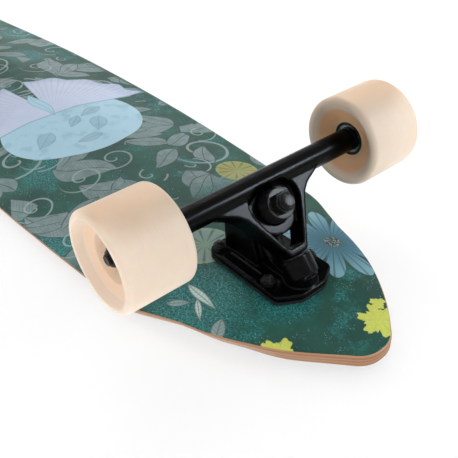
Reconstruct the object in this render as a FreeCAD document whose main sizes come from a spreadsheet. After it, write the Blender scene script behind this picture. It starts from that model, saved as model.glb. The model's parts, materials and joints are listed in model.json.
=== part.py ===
# A longboard: a concave maple deck on two reverse-kingpin trucks and four wheels.
# Standing on its wheels, +Z up, X along the board, origin on the ground under the middle.
import FreeCAD, Part
import math
import os
import Sketcher
from FreeCAD import Placement, Rotation, Vector

doc = FreeCAD.newDocument("Longboard")
sheet = doc.addObject("Spreadsheet::Sheet", "Spec")

# Driving dimensions, in millimetres and degrees.
dimensions = {
    # deck outline: half widths are measured from the centre line, outsets from the axle
    "boardLength": 1010,
    "wheelBase": 776,
    "middleHalfWidth": 120,
    "middleReach": 130,
    "shoulderOutset": -40,
    "shoulderHalfWidth": 102.5,
    "waistOutset": 4,
    "waistHalfWidth": 83.2,
    "hipOutset": 65,
    "hipHalfWidth": 64,
    "tipHalfWidth": 10.8,
    "shoulderRound": 80,
    "waistRound": 60,
    "hipRound": 215,
    # deck section and the rise of its ends
    "outerPly": 1.5,
    "corePlies": 6.6,
    "gripThickness": 0.9,
    "gripInset": 1.5,
    "flatHalfWidth": 30,
    "dishHalfWidth": 100,
    "dishRise": 11.5,
    "dishRound": 80,
    "blankHalfWidth": 135,
    "kickOutset": 53,
    "kickRound": 120,
    "kickAngle": 5,
    # ride height
    "axleToDeck": 68.5,
    "riserThickness": 2.5,
    # wheels
    "wheelRadius": 35,
    "wheelWidth": 50.5,
    "wheelSpacing": 212,
    "lipRound": 4,
    "dishMouth": 29.6,
    "dishFloorEdge": 26.8,
    "dishWallDepth": 6,
    "dishDepth": 9,
    "funnelMouth": 25,
    "funnelLip": 30.4,
    "funnelDepth": 8.8,
    "hubMouth": 13.2,
    "coreRadius": 15.5,
    "coreEnd": 0.6,
    "hubLand": 9.3,
    # bearings, size 608
    "bearingRadius": 11,
    "bearingWidth": 7,
    "bearingGap": 10,
    "raceInner": 6.2,
    "raceOuter": 9.2,
    "ballRadius": 1.985,
    "ballPitchRadius": 7.75,
    "ballCount": 7,
    "shieldThickness": 0.8,
    # axle
    "axleRadius": 4,
    "axleLength": 250,
    "hangerHalfWidth": 90,
    "speedWasherRadius": 5.6,
    "speedWasherThickness": 1,
    "spacerRadius": 5.2,
    "axleNutFlats": 13,
    "axleNutHeight": 7,
    # steering geometry of the truck, along and off the steering axis
    "truckAngle": 50,
    "rake": 3,
    "kingpinReach": 18.5,
    "plateReach": 55.5,
    "pivotReach": 66,
    "steerLimit": 15,
    # hanger casting
    "tubeRadius": 9,
    "faceHeight": 6.5,
    "backDepth": 11,
    "plateTipHalfWidth": 7.5,
    "plateWaistReach": 16,
    "plateWaistHalfWidth": 29,
    "plateShoulderReach": 7,
    "plateShoulderHalfWidth": 48,
    "plateEndHalfWidth": 74,
    "windowTop": -1.5,
    "windowDraft": 4.4,
    "windowHalfWidth": 21.8,
    "windowFoot": 50.5,
    "windowFootHalfWidth": 6.5,
    "seatWebThickness": 7,
    "seatFloor": 3.4,
    "seatWebRadius": 20.5,
    "seatRadius": 12.8,
    "noseRadius": 6.2,
    # kingpin stack
    "kingpinRadius": 4.76,
    "kingpinHeadFlats": 14.3,
    "kingpinHeadHeight": 6,
    "headPocketDepth": 22,
    "kingpinGrip": 17,
    "kingpinStickOut": 2.6,
    "lowerBushingHeight": 14.5,
    "lowerBushingRadius": 12.2,
    "upperBushingHeight": 11.5,
    "upperBushingRadius": 12.2,
    "upperBushingTopRadius": 10.2,
    "cupThickness": 1.5,
    "cupLip": 1.6,
    "lowerCupRadius": 13.4,
    "upperCupRadius": 11.2,
    "kingpinNutFlats": 14.3,
    "kingpinNutHeight": 7.6,
    # baseplate casting
    "flangeThickness": 4.5,
    "flangeInnerEnd": 33,
    "flangeOuterEnd": 45,
    "flangeNoseEnd": 55,
    "flangeNoseHalfWidth": 11.5,
    "flangeHalfWidth": 27.5,
    "boltSpacingLong": 53.98,
    "boltSpacingWide": 41.28,
    "boltOffset": 2.4,
    "towerHalfWidth": 14,
    "towerWall": 26.5,
    "towerFoot": 12,
    "spineHalfWidth": 8.5,
    "bossRadius": 12,
    "cupOuterRadius": 8.6,
    "cupWallFloor": 2.4,
    "cupLipThickness": 1.4,
    # mounting hardware
    "boltRadius": 2.4,
    "boltHeadRadius": 4.6,
    "boltHeadHeight": 2.7,
    "boltStickOut": 1.8,
    "mountNutFlats": 9.5,
    "mountNutHeight": 5.6,
    # clearances
    "holeClearance": 0.15,
    "runningClearance": 0.05,
    "steerClearance": 0.4,
}


class Size:
    """A length that knows its value and the spreadsheet expression that gives it."""

    def __init__(self, value, text):
        self.value = value
        self.text = text

    def __add__(self, other):
        other = asSize(other)
        return Size(self.value + other.value, "(%s + %s)" % (self.text, other.text))

    def __sub__(self, other):
        other = asSize(other)
        return Size(self.value - other.value, "(%s - %s)" % (self.text, other.text))

    def __mul__(self, other):
        other = asSize(other)
        return Size(self.value * other.value, "(%s * %s)" % (self.text, other.text))

    def __truediv__(self, other):
        other = asSize(other)
        return Size(self.value / other.value, "(%s / %s)" % (self.text, other.text))

    def __neg__(self):
        return Size(-self.value, "(0 - %s)" % self.text)

    def __radd__(self, other):
        return asSize(other) + self

    def __rsub__(self, other):
        return asSize(other) - self

    def __rmul__(self, other):
        return asSize(other) * self


def asSize(number):
    return number if isinstance(number, Size) else Size(float(number), "%.10g" % number)


def cosine(angle):
    return Size(math.cos(math.radians(angle.value)), "cos(%s * 1 deg)" % angle.text)


def sine(angle):
    return Size(math.sin(math.radians(angle.value)), "sin(%s * 1 deg)" % angle.text)


def root(square):
    return Size(math.sqrt(square.value), "sqrt(%s)" % square.text)


def tangent(angle):
    return sine(angle) / cosine(angle)


class Sizes:
    """Every driving dimension as a Size, read from the spreadsheet."""


S = Sizes()


def fillSheet():
    for row, (alias, value) in enumerate(dimensions.items(), start=1):
        sheet.set("A%d" % row, alias)
        sheet.set("B%d" % row, str(value))
        sheet.setAlias("B%d" % row, alias)
    doc.recompute()
    for alias in dimensions:
        setattr(S, alias, Size(float(sheet.get(alias)), "Spec.%s" % alias))


fillSheet()


# ---- helpers for bodies and sketches ----

def newBody(label, place):
    body = doc.addObject("PartDesign::Body", label)
    body.Label = label
    body.Placement = place
    return body


def plane(body, role):
    return next(item for item in body.Origin.OriginFeatures if item.Role == role)


def bind(item, prop, size):
    item.setExpression(prop, asSize(size).text)


def newSketch(body, role, offset=0):
    sketch = body.newObject("Sketcher::SketchObject", body.Name + "Sketch")
    sketch.AttachmentSupport = [(plane(body, role), "")]
    sketch.MapMode = "FlatFace"
    bind(sketch, "AttachmentOffset.Base.z", offset)
    return sketch


def fix(sketch, kind, element, point, size):
    size = asSize(size)
    number = sketch.addConstraint(Sketcher.Constraint(kind, -1, 1, element, point, size.value))
    if "Spec" in size.text:
        sketch.setExpression("Constraints[%d]" % number, size.text)


def fixPoint(sketch, element, point, x, y):
    fix(sketch, "DistanceX", element, point, x)
    fix(sketch, "DistanceY", element, point, y)


def fixRadius(sketch, element, size):
    size = asSize(size)
    number = sketch.addConstraint(Sketcher.Constraint("Radius", element, size.value))
    sketch.setExpression("Constraints[%d]" % number, size.text)


def cornerArc(before, corner, after, radius):
    """The tangent arc that rounds a corner: its centre, two ends and whether it turns left."""
    inward = (before - corner).normalize()
    outward = (after - corner).normalize()
    half = math.acos(max(-1.0, min(1.0, inward.dot(outward)))) / 2
    reach = radius / math.tan(half)
    start = corner + inward * reach
    end = corner + outward * reach
    bisector = (inward + outward).normalize()
    centre = corner + bisector * (radius / math.sin(half))
    return centre, start, end, inward.cross(outward).z < 0


def roundedLoop(sketch, corners):
    """A closed outline through (x, y) corners, or (x, y, radius) ones that are rounded."""
    corners = [tuple(asSize(value) for value in corner) for corner in corners]
    points = [Vector(corner[0].value, corner[1].value, 0) for corner in corners]
    count = len(corners)
    arcs = {}
    for index, corner in enumerate(corners):
        if len(corner) == 3:
            arcs[index] = cornerArc(
                points[index - 1], points[index], points[(index + 1) % count], corner[2].value)
    lines = []
    for index in range(count):
        following = (index + 1) % count
        start = arcs[index][2] if index in arcs else points[index]
        end = arcs[following][1] if following in arcs else points[following]
        lines.append(sketch.addGeometry(Part.LineSegment(start, end)))
    for index, corner in enumerate(corners):
        line = lines[index]
        previous = lines[index - 1]
        if index in arcs:
            roundCorner(sketch, previous, line, corner, points[index], arcs[index])
        else:
            sketch.addConstraint(Sketcher.Constraint("Coincident", previous, 2, line, 1))
            fixPoint(sketch, line, 1, corner[0], corner[1])


def roundCorner(sketch, previous, line, corner, point, arc):
    centre, start, end, turnsLeft = arc
    radius = corner[2].value
    first, last = (start, end) if turnsLeft else (end, start)
    angleOne = math.atan2(first.y - centre.y, first.x - centre.x)
    angleTwo = math.atan2(last.y - centre.y, last.x - centre.x)
    if angleTwo < angleOne:
        angleTwo += 2 * math.pi
    circle = Part.Circle(centre, Vector(0, 0, 1), radius)
    curve = sketch.addGeometry(Part.ArcOfCircle(circle, angleOne, angleTwo))
    startEnd, endEnd = (1, 2) if turnsLeft else (2, 1)
    vertex = sketch.addGeometry(Part.Point(point), True)
    fixPoint(sketch, vertex, 1, corner[0], corner[1])
    sketch.addConstraint(Sketcher.Constraint("PointOnObject", vertex, 1, previous))
    sketch.addConstraint(Sketcher.Constraint("PointOnObject", vertex, 1, line))
    sketch.addConstraint(Sketcher.Constraint("Tangent", previous, 2, curve, startEnd))
    sketch.addConstraint(Sketcher.Constraint("Tangent", curve, endEnd, line, 1))
    fixRadius(sketch, curve, corner[2])


def circle(sketch, x, y, radius):
    x, y, radius = asSize(x), asSize(y), asSize(radius)
    round_ = Part.Circle(Vector(x.value, y.value, 0), Vector(0, 0, 1), radius.value)
    element = sketch.addGeometry(round_)
    fixPoint(sketch, element, 3, x, y)
    fixRadius(sketch, element, radius)


def hexagon(sketch, flats, x=0, y=0):
    """A hexagon by its width across flats."""
    corner = flats / (2 * math.cos(math.pi / 6))
    roundedLoop(sketch, [
        (x + corner * math.cos(side * math.pi / 3), y + corner * math.sin(side * math.pi / 3))
        for side in range(6)])


def feature(body, kind, sketch, length, symmetric=False, reversed_=False):
    item = body.newObject("PartDesign::" + kind, body.Name + kind)
    item.Profile = sketch
    sketch.Visibility = False
    item.Length = asSize(length).value
    bind(item, "Length", length)
    if symmetric:
        item.SideType = "Symmetric"
    item.Reversed = reversed_
    return item


def pad(body, sketch, length, symmetric=False, reversed_=False):
    return feature(body, "Pad", sketch, length, symmetric, reversed_)


def pocket(body, sketch, length, symmetric=False, reversed_=False):
    """A cut; it must take something away."""
    doc.recompute()
    before = body.Shape.Volume
    item = feature(body, "Pocket", sketch, length, symmetric, reversed_)
    doc.recompute()
    if body.Shape.Volume > before - 0.01:
        raise ValueError(item.Label + " cuts nothing")
    return item


def turn(body, kind, sketch, axis="V_Axis"):
    item = body.newObject("PartDesign::" + kind, body.Name + kind)
    item.Profile = sketch
    item.ReferenceAxis = (sketch, [axis])
    item.Angle = 360
    return item


def mirrorWhole(body, role):
    """Adds the mirror image of all that the body holds so far."""
    doc.recompute()
    item = body.newObject("PartDesign::Mirrored", body.Name + "Mirrored")
    item.Originals = [body.Tip]
    item.TransformMode = "Whole shape"
    item.MirrorPlane = (plane(body, role), [""])
    body.Tip = item
    return item


def cylinder(body, kind, at, lean, radius, height):
    """A boss or a bore from the (x, z) point at, its own Z leaned about Y."""
    item = body.newObject("PartDesign::" + kind, body.Name + "Round")
    item.AttachmentSupport = [(plane(body, "XY_Plane"), "")]
    item.MapMode = "FlatFace"
    item.AttachmentOffset = Placement(Vector(0, 0, 0), Rotation(Vector(0, 1, 0), lean))
    bind(item, "AttachmentOffset.Base.x", at[0])
    bind(item, "AttachmentOffset.Base.z", at[1])
    bind(item, "Radius", radius)
    bind(item, "Height", height)
    body.Tip = item


def boss(body, at, lean, radius, height):
    cylinder(body, "AdditiveCylinder", at, lean, radius, height)


def drill(body, at, lean, radius, depth):
    cylinder(body, "SubtractiveCylinder", at, lean, radius, depth)


def roundEdges(body, test, radius):
    """Rounds the edges of the last feature that pass the test."""
    doc.recompute()
    base = body.Tip
    names = ["Edge%d" % number for number, edge in enumerate(base.Shape.Edges, start=1) if test(edge)]
    if not names:
        raise ValueError("no edge to round on " + body.Label)
    item = body.newObject("PartDesign::Fillet", body.Name + "Fillet")
    item.Base = (base, names)
    item.Radius = asSize(radius).value
    bind(item, "Radius", radius)
    doc.recompute()


halfBase = S.wheelBase / 2
halfBoard = S.boardLength / 2
deckThickness = S.outerPly * 2 + S.corePlies
undersideHeight = S.wheelRadius + S.axleToDeck

# The bend from the deck's straight middle to its tapering sides takes up half of the taper.
taper = halfBase + S.shoulderOutset - S.middleReach
middleRound = taper * taper / (S.middleHalfWidth - S.shoulderHalfWidth)

# The two corners of the tip are rounded as far as their arcs nearly meet on the centre line.
tipRun = halfBoard - halfBase - S.hipOutset
tipDrop = S.hipHalfWidth - S.tipHalfWidth
tipRound = S.tipHalfWidth * tipRun / (root(tipRun * tipRun + tipDrop * tipDrop) - tipDrop) * 0.9

# Where things lie along the kingpin, measured from the axle's centre line.
seatMiddle = -S.rake
upperSeat = seatMiddle + S.seatFloor / 2
lowerSeat = seatMiddle - S.seatFloor / 2
upperBushingTop = upperSeat + S.upperBushingHeight
kingpinNutFoot = upperBushingTop + S.cupThickness
kingpinNutTop = kingpinNutFoot + S.kingpinNutHeight
lowerBushingFoot = lowerSeat - S.lowerBushingHeight
towerSeat = lowerBushingFoot - S.cupThickness

# Where things lie along the axle, outwards from the middle of the board.
wheelCentre = S.wheelSpacing / 2
bearingInnerFace = S.hangerHalfWidth + S.speedWasherThickness
bearingOuterFace = bearingInnerFace + S.bearingWidth * 2 + S.bearingGap


# ---- frames of the truck ----
# A casting lies in one of three frames, all measured from the axle's middle:
# base:   X towards the tip of the board, Z down to the road
# hanger: X down the steering axis to the road, Z along the kingpin to its nut
# pivot:  Z up the steering axis to the pivot, on that axis

def towards(end):
    return Rotation(Vector(0, 0, 1), 0 if end > 0 else 180)


def leaned(angle):
    return Rotation(Vector(0, 1, 0), angle)


def truckBody(label, end, rotation, outset=0, rise=0):
    """A body whose origin is at the axle's middle, moved towards the tip and up."""
    body = newBody(label + "_" + endName(end), Placement(Vector(0, 0, 0), towards(end) * rotation))
    bind(body, "Placement.Base.x", (halfBase + outset) * end)
    bind(body, "Placement.Base.z", S.wheelRadius + rise)
    return body


def endName(end):
    return "rear" if end > 0 else "front"


def baseBody(label, end):
    return truckBody(label, end, Rotation(Vector(1, 0, 0), 180))


def hangerBody(label, end):
    return truckBody(label, end, leaned(180 - S.truckAngle.value))


def kingpinBody(label, end, corners):
    """A piece turned about the kingpin from (r, z) corners, z measured from the axle."""
    outset = S.kingpinReach * cosine(S.truckAngle)
    rise = S.kingpinReach * sine(S.truckAngle)
    body = truckBody(label, end, leaned(180 - S.truckAngle.value), outset, rise)
    if corners:
        sketch = newSketch(body, "XZ_Plane")
        roundedLoop(sketch, corners)
        turn(body, "Revolution", sketch)
    return body


def alongTruck(reach, off):
    """Base-frame (x, z) of a point by its reach up the steering axis and its offset."""
    outset = reach * cosine(S.truckAngle) + off * sine(S.truckAngle)
    height = off * cosine(S.truckAngle) - reach * sine(S.truckAngle)
    return outset, height


# ---- deck ----

def deckSection(sketch, low, high):
    """The hollowed cross-section between two heights above the deck's underside."""
    flat, dish, blank, bend = S.flatHalfWidth, S.dishHalfWidth, S.blankHalfWidth, S.dishRound
    lower = undersideHeight + low
    upper = undersideHeight + high
    rise = S.dishRise
    roundedLoop(sketch, [
        (-blank, lower + rise),
        (-dish, lower + rise, bend),
        (-flat, lower, bend),
        (flat, lower, bend),
        (dish, lower + rise, bend),
        (blank, lower + rise),
        (blank, upper + rise),
        (dish, upper + rise, bend),
        (flat, upper, bend),
        (-flat, upper, bend),
        (-dish, upper + rise, bend),
        (-blank, upper + rise)])


def deckPath(sketch):
    """Level under the truck, then a short bend up to the tip."""
    kick = halfBase + S.kickOutset
    overrun = halfBoard + S.blankHalfWidth / 4
    lift = undersideHeight + (overrun - kick) * tangent(S.kickAngle)
    start = Vector(0, undersideHeight.value, 0)
    bend = Vector(kick.value, undersideHeight.value, 0)
    finish = Vector(overrun.value, lift.value, 0)
    arc = cornerArc(start, bend, finish, S.kickRound.value)
    level = sketch.addGeometry(Part.LineSegment(start, arc[1]))
    slope = sketch.addGeometry(Part.LineSegment(arc[2], finish))
    fixPoint(sketch, level, 1, 0, undersideHeight)
    fixPoint(sketch, slope, 2, overrun, lift)
    roundCorner(sketch, level, slope, (kick, undersideHeight, S.kickRound), bend, arc)


def deckOutline(sketch, inset):
    """Half of the outline, as a hole in a plate that covers the blank."""
    far = halfBoard + S.blankHalfWidth
    wide = S.blankHalfWidth * 2
    roundedLoop(sketch, [(-20, -wide), (far, -wide), (far, wide), (-20, wide)])
    side = [
        (S.middleReach, S.middleHalfWidth - inset, middleRound),
        (halfBase + S.shoulderOutset, S.shoulderHalfWidth - inset, S.shoulderRound),
        (halfBase + S.waistOutset, S.waistHalfWidth - inset, S.waistRound),
        (halfBase + S.hipOutset, S.hipHalfWidth - inset, S.hipRound),
        (halfBoard - inset, S.tipHalfWidth - inset / 2, tipRound)]
    across = [(x, -y, corner) for x, y, corner in side]
    roundedLoop(sketch, [
        (-10, inset - S.middleHalfWidth),
        *across,
        *reversed(side),
        (-10, S.middleHalfWidth - inset)])


def boltPlaces():
    """(x, y) of the bolts of the rear truck in the board's frame."""
    places = []
    for along in (-1, 1):
        for across in (-1, 1):
            x = halfBase + S.boltOffset + S.boltSpacingLong / 2 * along
            places.append((x, S.boltSpacingWide / 2 * across))
    return places


def sinkHeads(body):
    """Cone seats for the bolt heads, open at the top of the grip tape."""
    top = undersideHeight + deckThickness + S.gripThickness
    for x, y in boltPlaces():
        cone = body.newObject("PartDesign::SubtractiveCone", body.Name + "Sink")
        cone.AttachmentSupport = [(plane(body, "XY_Plane"), "")]
        cone.MapMode = "FlatFace"
        bind(cone, "AttachmentOffset.Base.x", x)
        bind(cone, "AttachmentOffset.Base.y", y)
        bind(cone, "AttachmentOffset.Base.z", top - S.boltHeadHeight)
        bind(cone, "Radius1", S.boltRadius + S.holeClearance)
        bind(cone, "Radius2", S.boltHeadRadius + S.holeClearance)
        bind(cone, "Height", S.boltHeadHeight)
        body.Tip = cone


def makeDeckLayer(label, low, high, inset, sunk):
    body = newBody(label, Placement())
    path = newSketch(body, "XZ_Plane")
    deckPath(path)
    section = newSketch(body, "YZ_Plane")
    deckSection(section, low, high)
    doc.recompute()
    pipe = body.newObject("PartDesign::AdditivePipe", label + "Pipe")
    pipe.Profile = section
    pipe.Spine = (path, [""])
    outline = newSketch(body, "XY_Plane")
    deckOutline(outline, asSize(inset))
    pocket(body, outline, S.axleToDeck * 8, symmetric=True)
    holes = newSketch(body, "XY_Plane")
    for x, y in boltPlaces():
        circle(holes, x, y, S.boltRadius + S.holeClearance)
    pocket(body, holes, S.axleToDeck * 8, symmetric=True)
    if sunk:
        sinkHeads(body)
    mirrorWhole(body, "YZ_Plane")


def makeDeck():
    corePlies = S.outerPly + S.corePlies
    makeDeckLayer("deck_bottom_ply", asSize(0), S.outerPly, 0, sunk=False)
    makeDeckLayer("deck_core_plies", S.outerPly, corePlies, 0, sunk=True)
    makeDeckLayer("deck_top_ply", corePlies, deckThickness, 0, sunk=True)
    gripTop = deckThickness + S.gripThickness
    makeDeckLayer("grip_tape", deckThickness, gripTop, S.gripInset, sunk=True)


# ---- riser and baseplate ----

flangeFoot = S.riserThickness - S.axleToDeck
flangeTop = flangeFoot + S.flangeThickness
pivotMouth = S.plateReach + S.steerClearance * 4
pivotFloor = S.pivotReach + S.cupWallFloor


def flangeOutline(sketch):
    half = S.flangeHalfWidth
    roundedLoop(sketch, [
        (-S.flangeInnerEnd, -half, half / 3),
        (S.flangeOuterEnd, -half, half / 5),
        (S.flangeNoseEnd, -S.flangeNoseHalfWidth, half / 2.2),
        (S.flangeNoseEnd, S.flangeNoseHalfWidth, half / 2.2),
        (S.flangeOuterEnd, half, half / 5),
        (-S.flangeInnerEnd, half, half / 3)])


def plateHoles(sketch):
    """The four bolt holes."""
    for along in (-1, 1):
        for across in (-1, 1):
            x = S.boltOffset + S.boltSpacingLong / 2 * along
            circle(sketch, x, S.boltSpacingWide / 2 * across, S.boltRadius + S.holeClearance)


def makeRiser(end):
    body = baseBody("riser_pad", end)
    outline = newSketch(body, "XY_Plane", -S.axleToDeck)
    flangeOutline(outline)
    plateHoles(outline)
    pad(body, outline, S.riserThickness)


def level(edge, height):
    box = edge.BoundBox
    return abs(box.ZMin - height.value) < 0.01 and abs(box.ZMax - height.value) < 0.01


def makeBaseplate(end):
    body = baseBody("baseplate", end)
    outline = newSketch(body, "XY_Plane", flangeFoot)
    flangeOutline(outline)
    pad(body, outline, S.flangeThickness)
    roundEdges(body, lambda edge: level(edge, flangeTop), S.flangeThickness / 3)
    for profile, width in ((towerProfile, S.towerHalfWidth), (spineProfile, S.spineHalfWidth)):
        side = newSketch(body, "XZ_Plane")
        profile(side)
        pad(body, side, width * 2, symmetric=True)
    foot = newSketch(body, "XY_Plane", flangeTop - 1)
    circle(foot, S.flangeNoseEnd - S.bossRadius - 2, 0, S.bossRadius)
    pad(body, foot, S.flangeThickness * 2 + 1)
    lean = 90 + S.truckAngle.value
    boss(body, alongTruck(pivotMouth, -S.rake), lean, S.bossRadius, pivotFloor - pivotMouth + 3.4)
    socketStart = S.plateReach - 2
    drill(body, alongTruck(socketStart, -S.rake), lean, S.cupOuterRadius, pivotFloor - socketStart)
    holes = newSketch(body, "XY_Plane", flangeTop)
    plateHoles(holes)
    pocket(body, holes, S.flangeThickness * 3, symmetric=True)
    drillKingpin(body)


def towerProfile(sketch):
    """The kingpin tower from the side: upright inner wall, slanted kingpin seat."""
    upper = alongTruck(S.kingpinReach - S.towerHalfWidth, towerSeat)
    fall = (upper[0] + S.towerWall) / tangent(S.truckAngle)
    roundedLoop(sketch, [
        (-S.towerWall, flangeTop - 1),
        (-S.towerWall, upper[1] - fall, 4),
        upper,
        alongTruck(S.kingpinReach + S.towerHalfWidth, towerSeat),
        (S.towerFoot, flangeTop - 1)])


def spineProfile(sketch):
    """The rib that joins the tower to the pivot socket."""
    roundedLoop(sketch, [
        (0, flangeTop - 1),
        alongTruck(S.kingpinReach + S.towerHalfWidth / 2, towerSeat - 3),
        alongTruck(S.plateReach - 2, towerSeat + 1),
        alongTruck(S.pivotReach, -S.bossRadius),
        (S.flangeNoseEnd - S.bossRadius, flangeTop - 1)])


def drillKingpin(body):
    """The kingpin's bore, and the pocket for its head in the inner wall."""
    lean = 180 + S.truckAngle.value
    seat = alongTruck(S.kingpinReach, towerSeat)
    drill(body, seat, lean, S.kingpinRadius + S.runningClearance, S.kingpinGrip + 1)
    head = alongTruck(S.kingpinReach, towerSeat - S.kingpinGrip)
    headRadius = S.kingpinHeadFlats / (2 * math.cos(math.pi / 6))
    drill(body, head, lean, headRadius + 0.6, S.headPocketDepth)


def makePivotCup(end):
    """The urethane cup in the baseplate's socket."""
    outset = -S.rake * sine(S.truckAngle)
    rise = S.rake * cosine(S.truckAngle)
    body = truckBody("pivot_cup", end, leaned(90 - S.truckAngle.value), outset, rise)
    mouth = pivotMouth - S.cupLipThickness / 2
    inside = S.noseRadius + S.steerClearance
    floor = S.pivotReach + S.steerClearance
    sketch = newSketch(body, "XZ_Plane")
    roundedLoop(sketch, [
        (0, floor), (inside, floor, 2.5), (inside, mouth),
        (S.cupOuterRadius, mouth), (S.cupOuterRadius, pivotFloor), (0, pivotFloor)])
    turn(body, "Revolution", sketch)


# ---- kingpin stack ----

def makeKingpin(end):
    headTop = towerSeat - S.kingpinGrip
    top = kingpinNutTop + S.kingpinStickOut
    body = kingpinBody("kingpin", end, [
        (0, headTop - 1), (S.kingpinRadius, headTop - 1),
        (S.kingpinRadius, top - 0.8), (S.kingpinRadius - 0.8, top), (0, top)])
    head = newSketch(body, "XY_Plane", headTop - S.kingpinHeadHeight)
    hexagon(head, S.kingpinHeadFlats)
    pad(body, head, S.kingpinHeadHeight)


def lockNut(body, foot, flats, height, bore):
    """A hexagon with a smaller round collar on top, which holds the nylon."""
    grip = height * 0.72
    outline = newSketch(body, "XY_Plane", foot)
    hexagon(outline, flats)
    circle(outline, 0, 0, bore)
    pad(body, outline, grip)
    collar = newSketch(body, "XY_Plane", foot + grip)
    circle(collar, 0, 0, flats / 2 - 0.8)
    circle(collar, 0, 0, bore)
    pad(body, collar, height - grip)


def makeKingpinNut(end):
    body = kingpinBody("kingpin_nut", end, [])
    bore = S.kingpinRadius + S.runningClearance
    lockNut(body, kingpinNutFoot, S.kingpinNutFlats, S.kingpinNutHeight, bore)


def makeBushings(end):
    bore = S.kingpinRadius + S.runningClearance
    kingpinBody("bushing_lower", end, [
        (bore, lowerBushingFoot),
        (S.lowerBushingRadius, lowerBushingFoot, 1.2),
        (S.lowerBushingRadius, lowerSeat, 1.2),
        (bore, lowerSeat)])
    kingpinBody("bushing_upper", end, [
        (bore, upperSeat),
        (S.upperBushingRadius, upperSeat, 1),
        (S.upperBushingRadius, upperSeat + S.upperBushingHeight / 3, 1),
        (S.upperBushingTopRadius, upperBushingTop, 1),
        (bore, upperBushingTop)])


def makeCupWashers(end):
    """Pressed washers whose lips hold the bushings."""
    bore = S.kingpinRadius + S.runningClearance
    inner = S.lowerBushingRadius + S.holeClearance
    kingpinBody("cup_washer_lower", end, [
        (bore, towerSeat), (S.lowerCupRadius, towerSeat, 0.6),
        (S.lowerCupRadius, lowerBushingFoot + S.cupLip), (inner, lowerBushingFoot + S.cupLip),
        (inner, lowerBushingFoot), (bore, lowerBushingFoot)])
    inner = S.upperBushingTopRadius + S.holeClearance * 2
    lip = upperBushingTop - S.cupLip / 2
    kingpinBody("cup_washer_upper", end, [
        (bore, upperBushingTop), (inner, upperBushingTop), (inner, lip),
        (S.upperCupRadius, lip), (S.upperCupRadius, kingpinNutFoot, 0.6), (bore, kingpinNutFoot)])


# ---- hanger ----

def makeHanger(end):
    body = hangerBody("hanger", end)
    outline = newSketch(body, "XY_Plane", -S.backDepth)
    platePlan(outline)
    pad(body, outline, S.backDepth + S.faceHeight)
    window = newSketch(body, "XY_Plane", S.faceHeight)
    windowPlan(window, S.windowTop)
    pocket(body, window, S.faceHeight + S.backDepth + 1)
    barrel = newSketch(body, "XZ_Plane")
    circle(barrel, 0, 0, S.tubeRadius)
    pad(body, barrel, S.hangerHalfWidth * 2, symmetric=True)
    cutBarrel(body)
    makeSeats(body)
    nose = newSketch(body, "XZ_Plane")
    bind(nose, "AttachmentOffset.Base.y", -S.rake)
    roundedLoop(nose, [
        (-S.pivotReach, 0), (-S.pivotReach, S.noseRadius, 2.5),
        (-S.plateReach, S.noseRadius), (3 - S.plateReach, S.noseRadius + 1),
        (3 - S.plateReach, 0)])
    turn(body, "Revolution", nose, "H_Axis")
    bore = newSketch(body, "XZ_Plane")
    circle(bore, 0, 0, S.axleRadius + S.runningClearance)
    pocket(body, bore, S.hangerHalfWidth * 3, symmetric=True)


def platePlan(sketch):
    """The hanger's plate from the front: a triangle that sweeps out along the tube."""
    half = [
        (-S.plateReach, S.plateTipHalfWidth, 2),
        (-S.plateWaistReach, S.plateWaistHalfWidth, 22),
        (-S.plateShoulderReach, S.plateShoulderHalfWidth, 40),
        (-1.5, S.plateEndHalfWidth)]
    across = [(corner[0], -corner[1], *corner[2:]) for corner in reversed(half)]
    roundedLoop(sketch, across + half + [(2.2, S.plateEndHalfWidth), (2.2, -S.plateEndHalfWidth)])


def windowPlan(sketch, top):
    """The rounded triangle that shows the kingpin stack."""
    middle = -S.plateWaistReach - 4
    roundedLoop(sketch, [
        (top, -S.windowHalfWidth, 13),
        (top, S.windowHalfWidth, 13),
        (middle, S.windowHalfWidth - 0.8, 14),
        (-S.windowFoot, S.windowFootHalfWidth, 5.5),
        (-S.windowFoot, -S.windowFootHalfWidth, 5.5),
        (middle, 0.8 - S.windowHalfWidth, 14)])


def cutBarrel(body):
    """Carries the window into the barrel with a sloping wall, clear of the axle."""
    mouth = newSketch(body, "XY_Plane", S.tubeRadius)
    windowPlan(mouth, S.windowTop)
    floor = newSketch(body, "XY_Plane", seatMiddle + S.seatWebThickness / 2)
    windowPlan(floor, S.windowTop - S.windowDraft)
    doc.recompute()
    cut = body.newObject("PartDesign::SubtractiveLoft", body.Name + "Draft")
    cut.Profile = mouth
    cut.Sections = [floor]
    cut.Ruled = True
    body.Tip = cut


def makeSeats(body):
    """The web across the window, its two bushing seats and the kingpin's hole."""
    foot = seatMiddle - S.seatWebThickness / 2
    web = newSketch(body, "XY_Plane", foot)
    circle(web, -S.kingpinReach, 0, S.seatWebRadius)
    pad(body, web, S.seatWebThickness)
    flank = newSketch(body, "XY_Plane", foot)
    roundedLoop(flank, [
        (-S.kingpinReach - 8, -S.windowHalfWidth), (0, -S.windowHalfWidth),
        (0, S.windowHalfWidth), (-S.kingpinReach - 8, S.windowHalfWidth)])
    pad(body, flank, S.seatWebThickness)
    for height, upwards in ((upperSeat, True), (lowerSeat, False)):
        seat = newSketch(body, "XY_Plane", height)
        circle(seat, -S.kingpinReach, 0, S.seatRadius)
        pocket(body, seat, S.backDepth * 2, reversed_=upwards)
    swing = S.kingpinRadius / cosine(S.steerLimit) + S.seatFloor / 2 * tangent(S.steerLimit)
    hole = newSketch(body, "XY_Plane", seatMiddle)
    circle(hole, -S.kingpinReach, 0, swing + S.steerClearance)
    pocket(body, hole, S.seatWebThickness * 2, symmetric=True)


# ---- axle and what it carries, turned about the axle's Z from (r, z) outlines ----

def axleBody(label, end):
    return truckBody(label, end, Rotation(Vector(1, 0, 0), 90))


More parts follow.
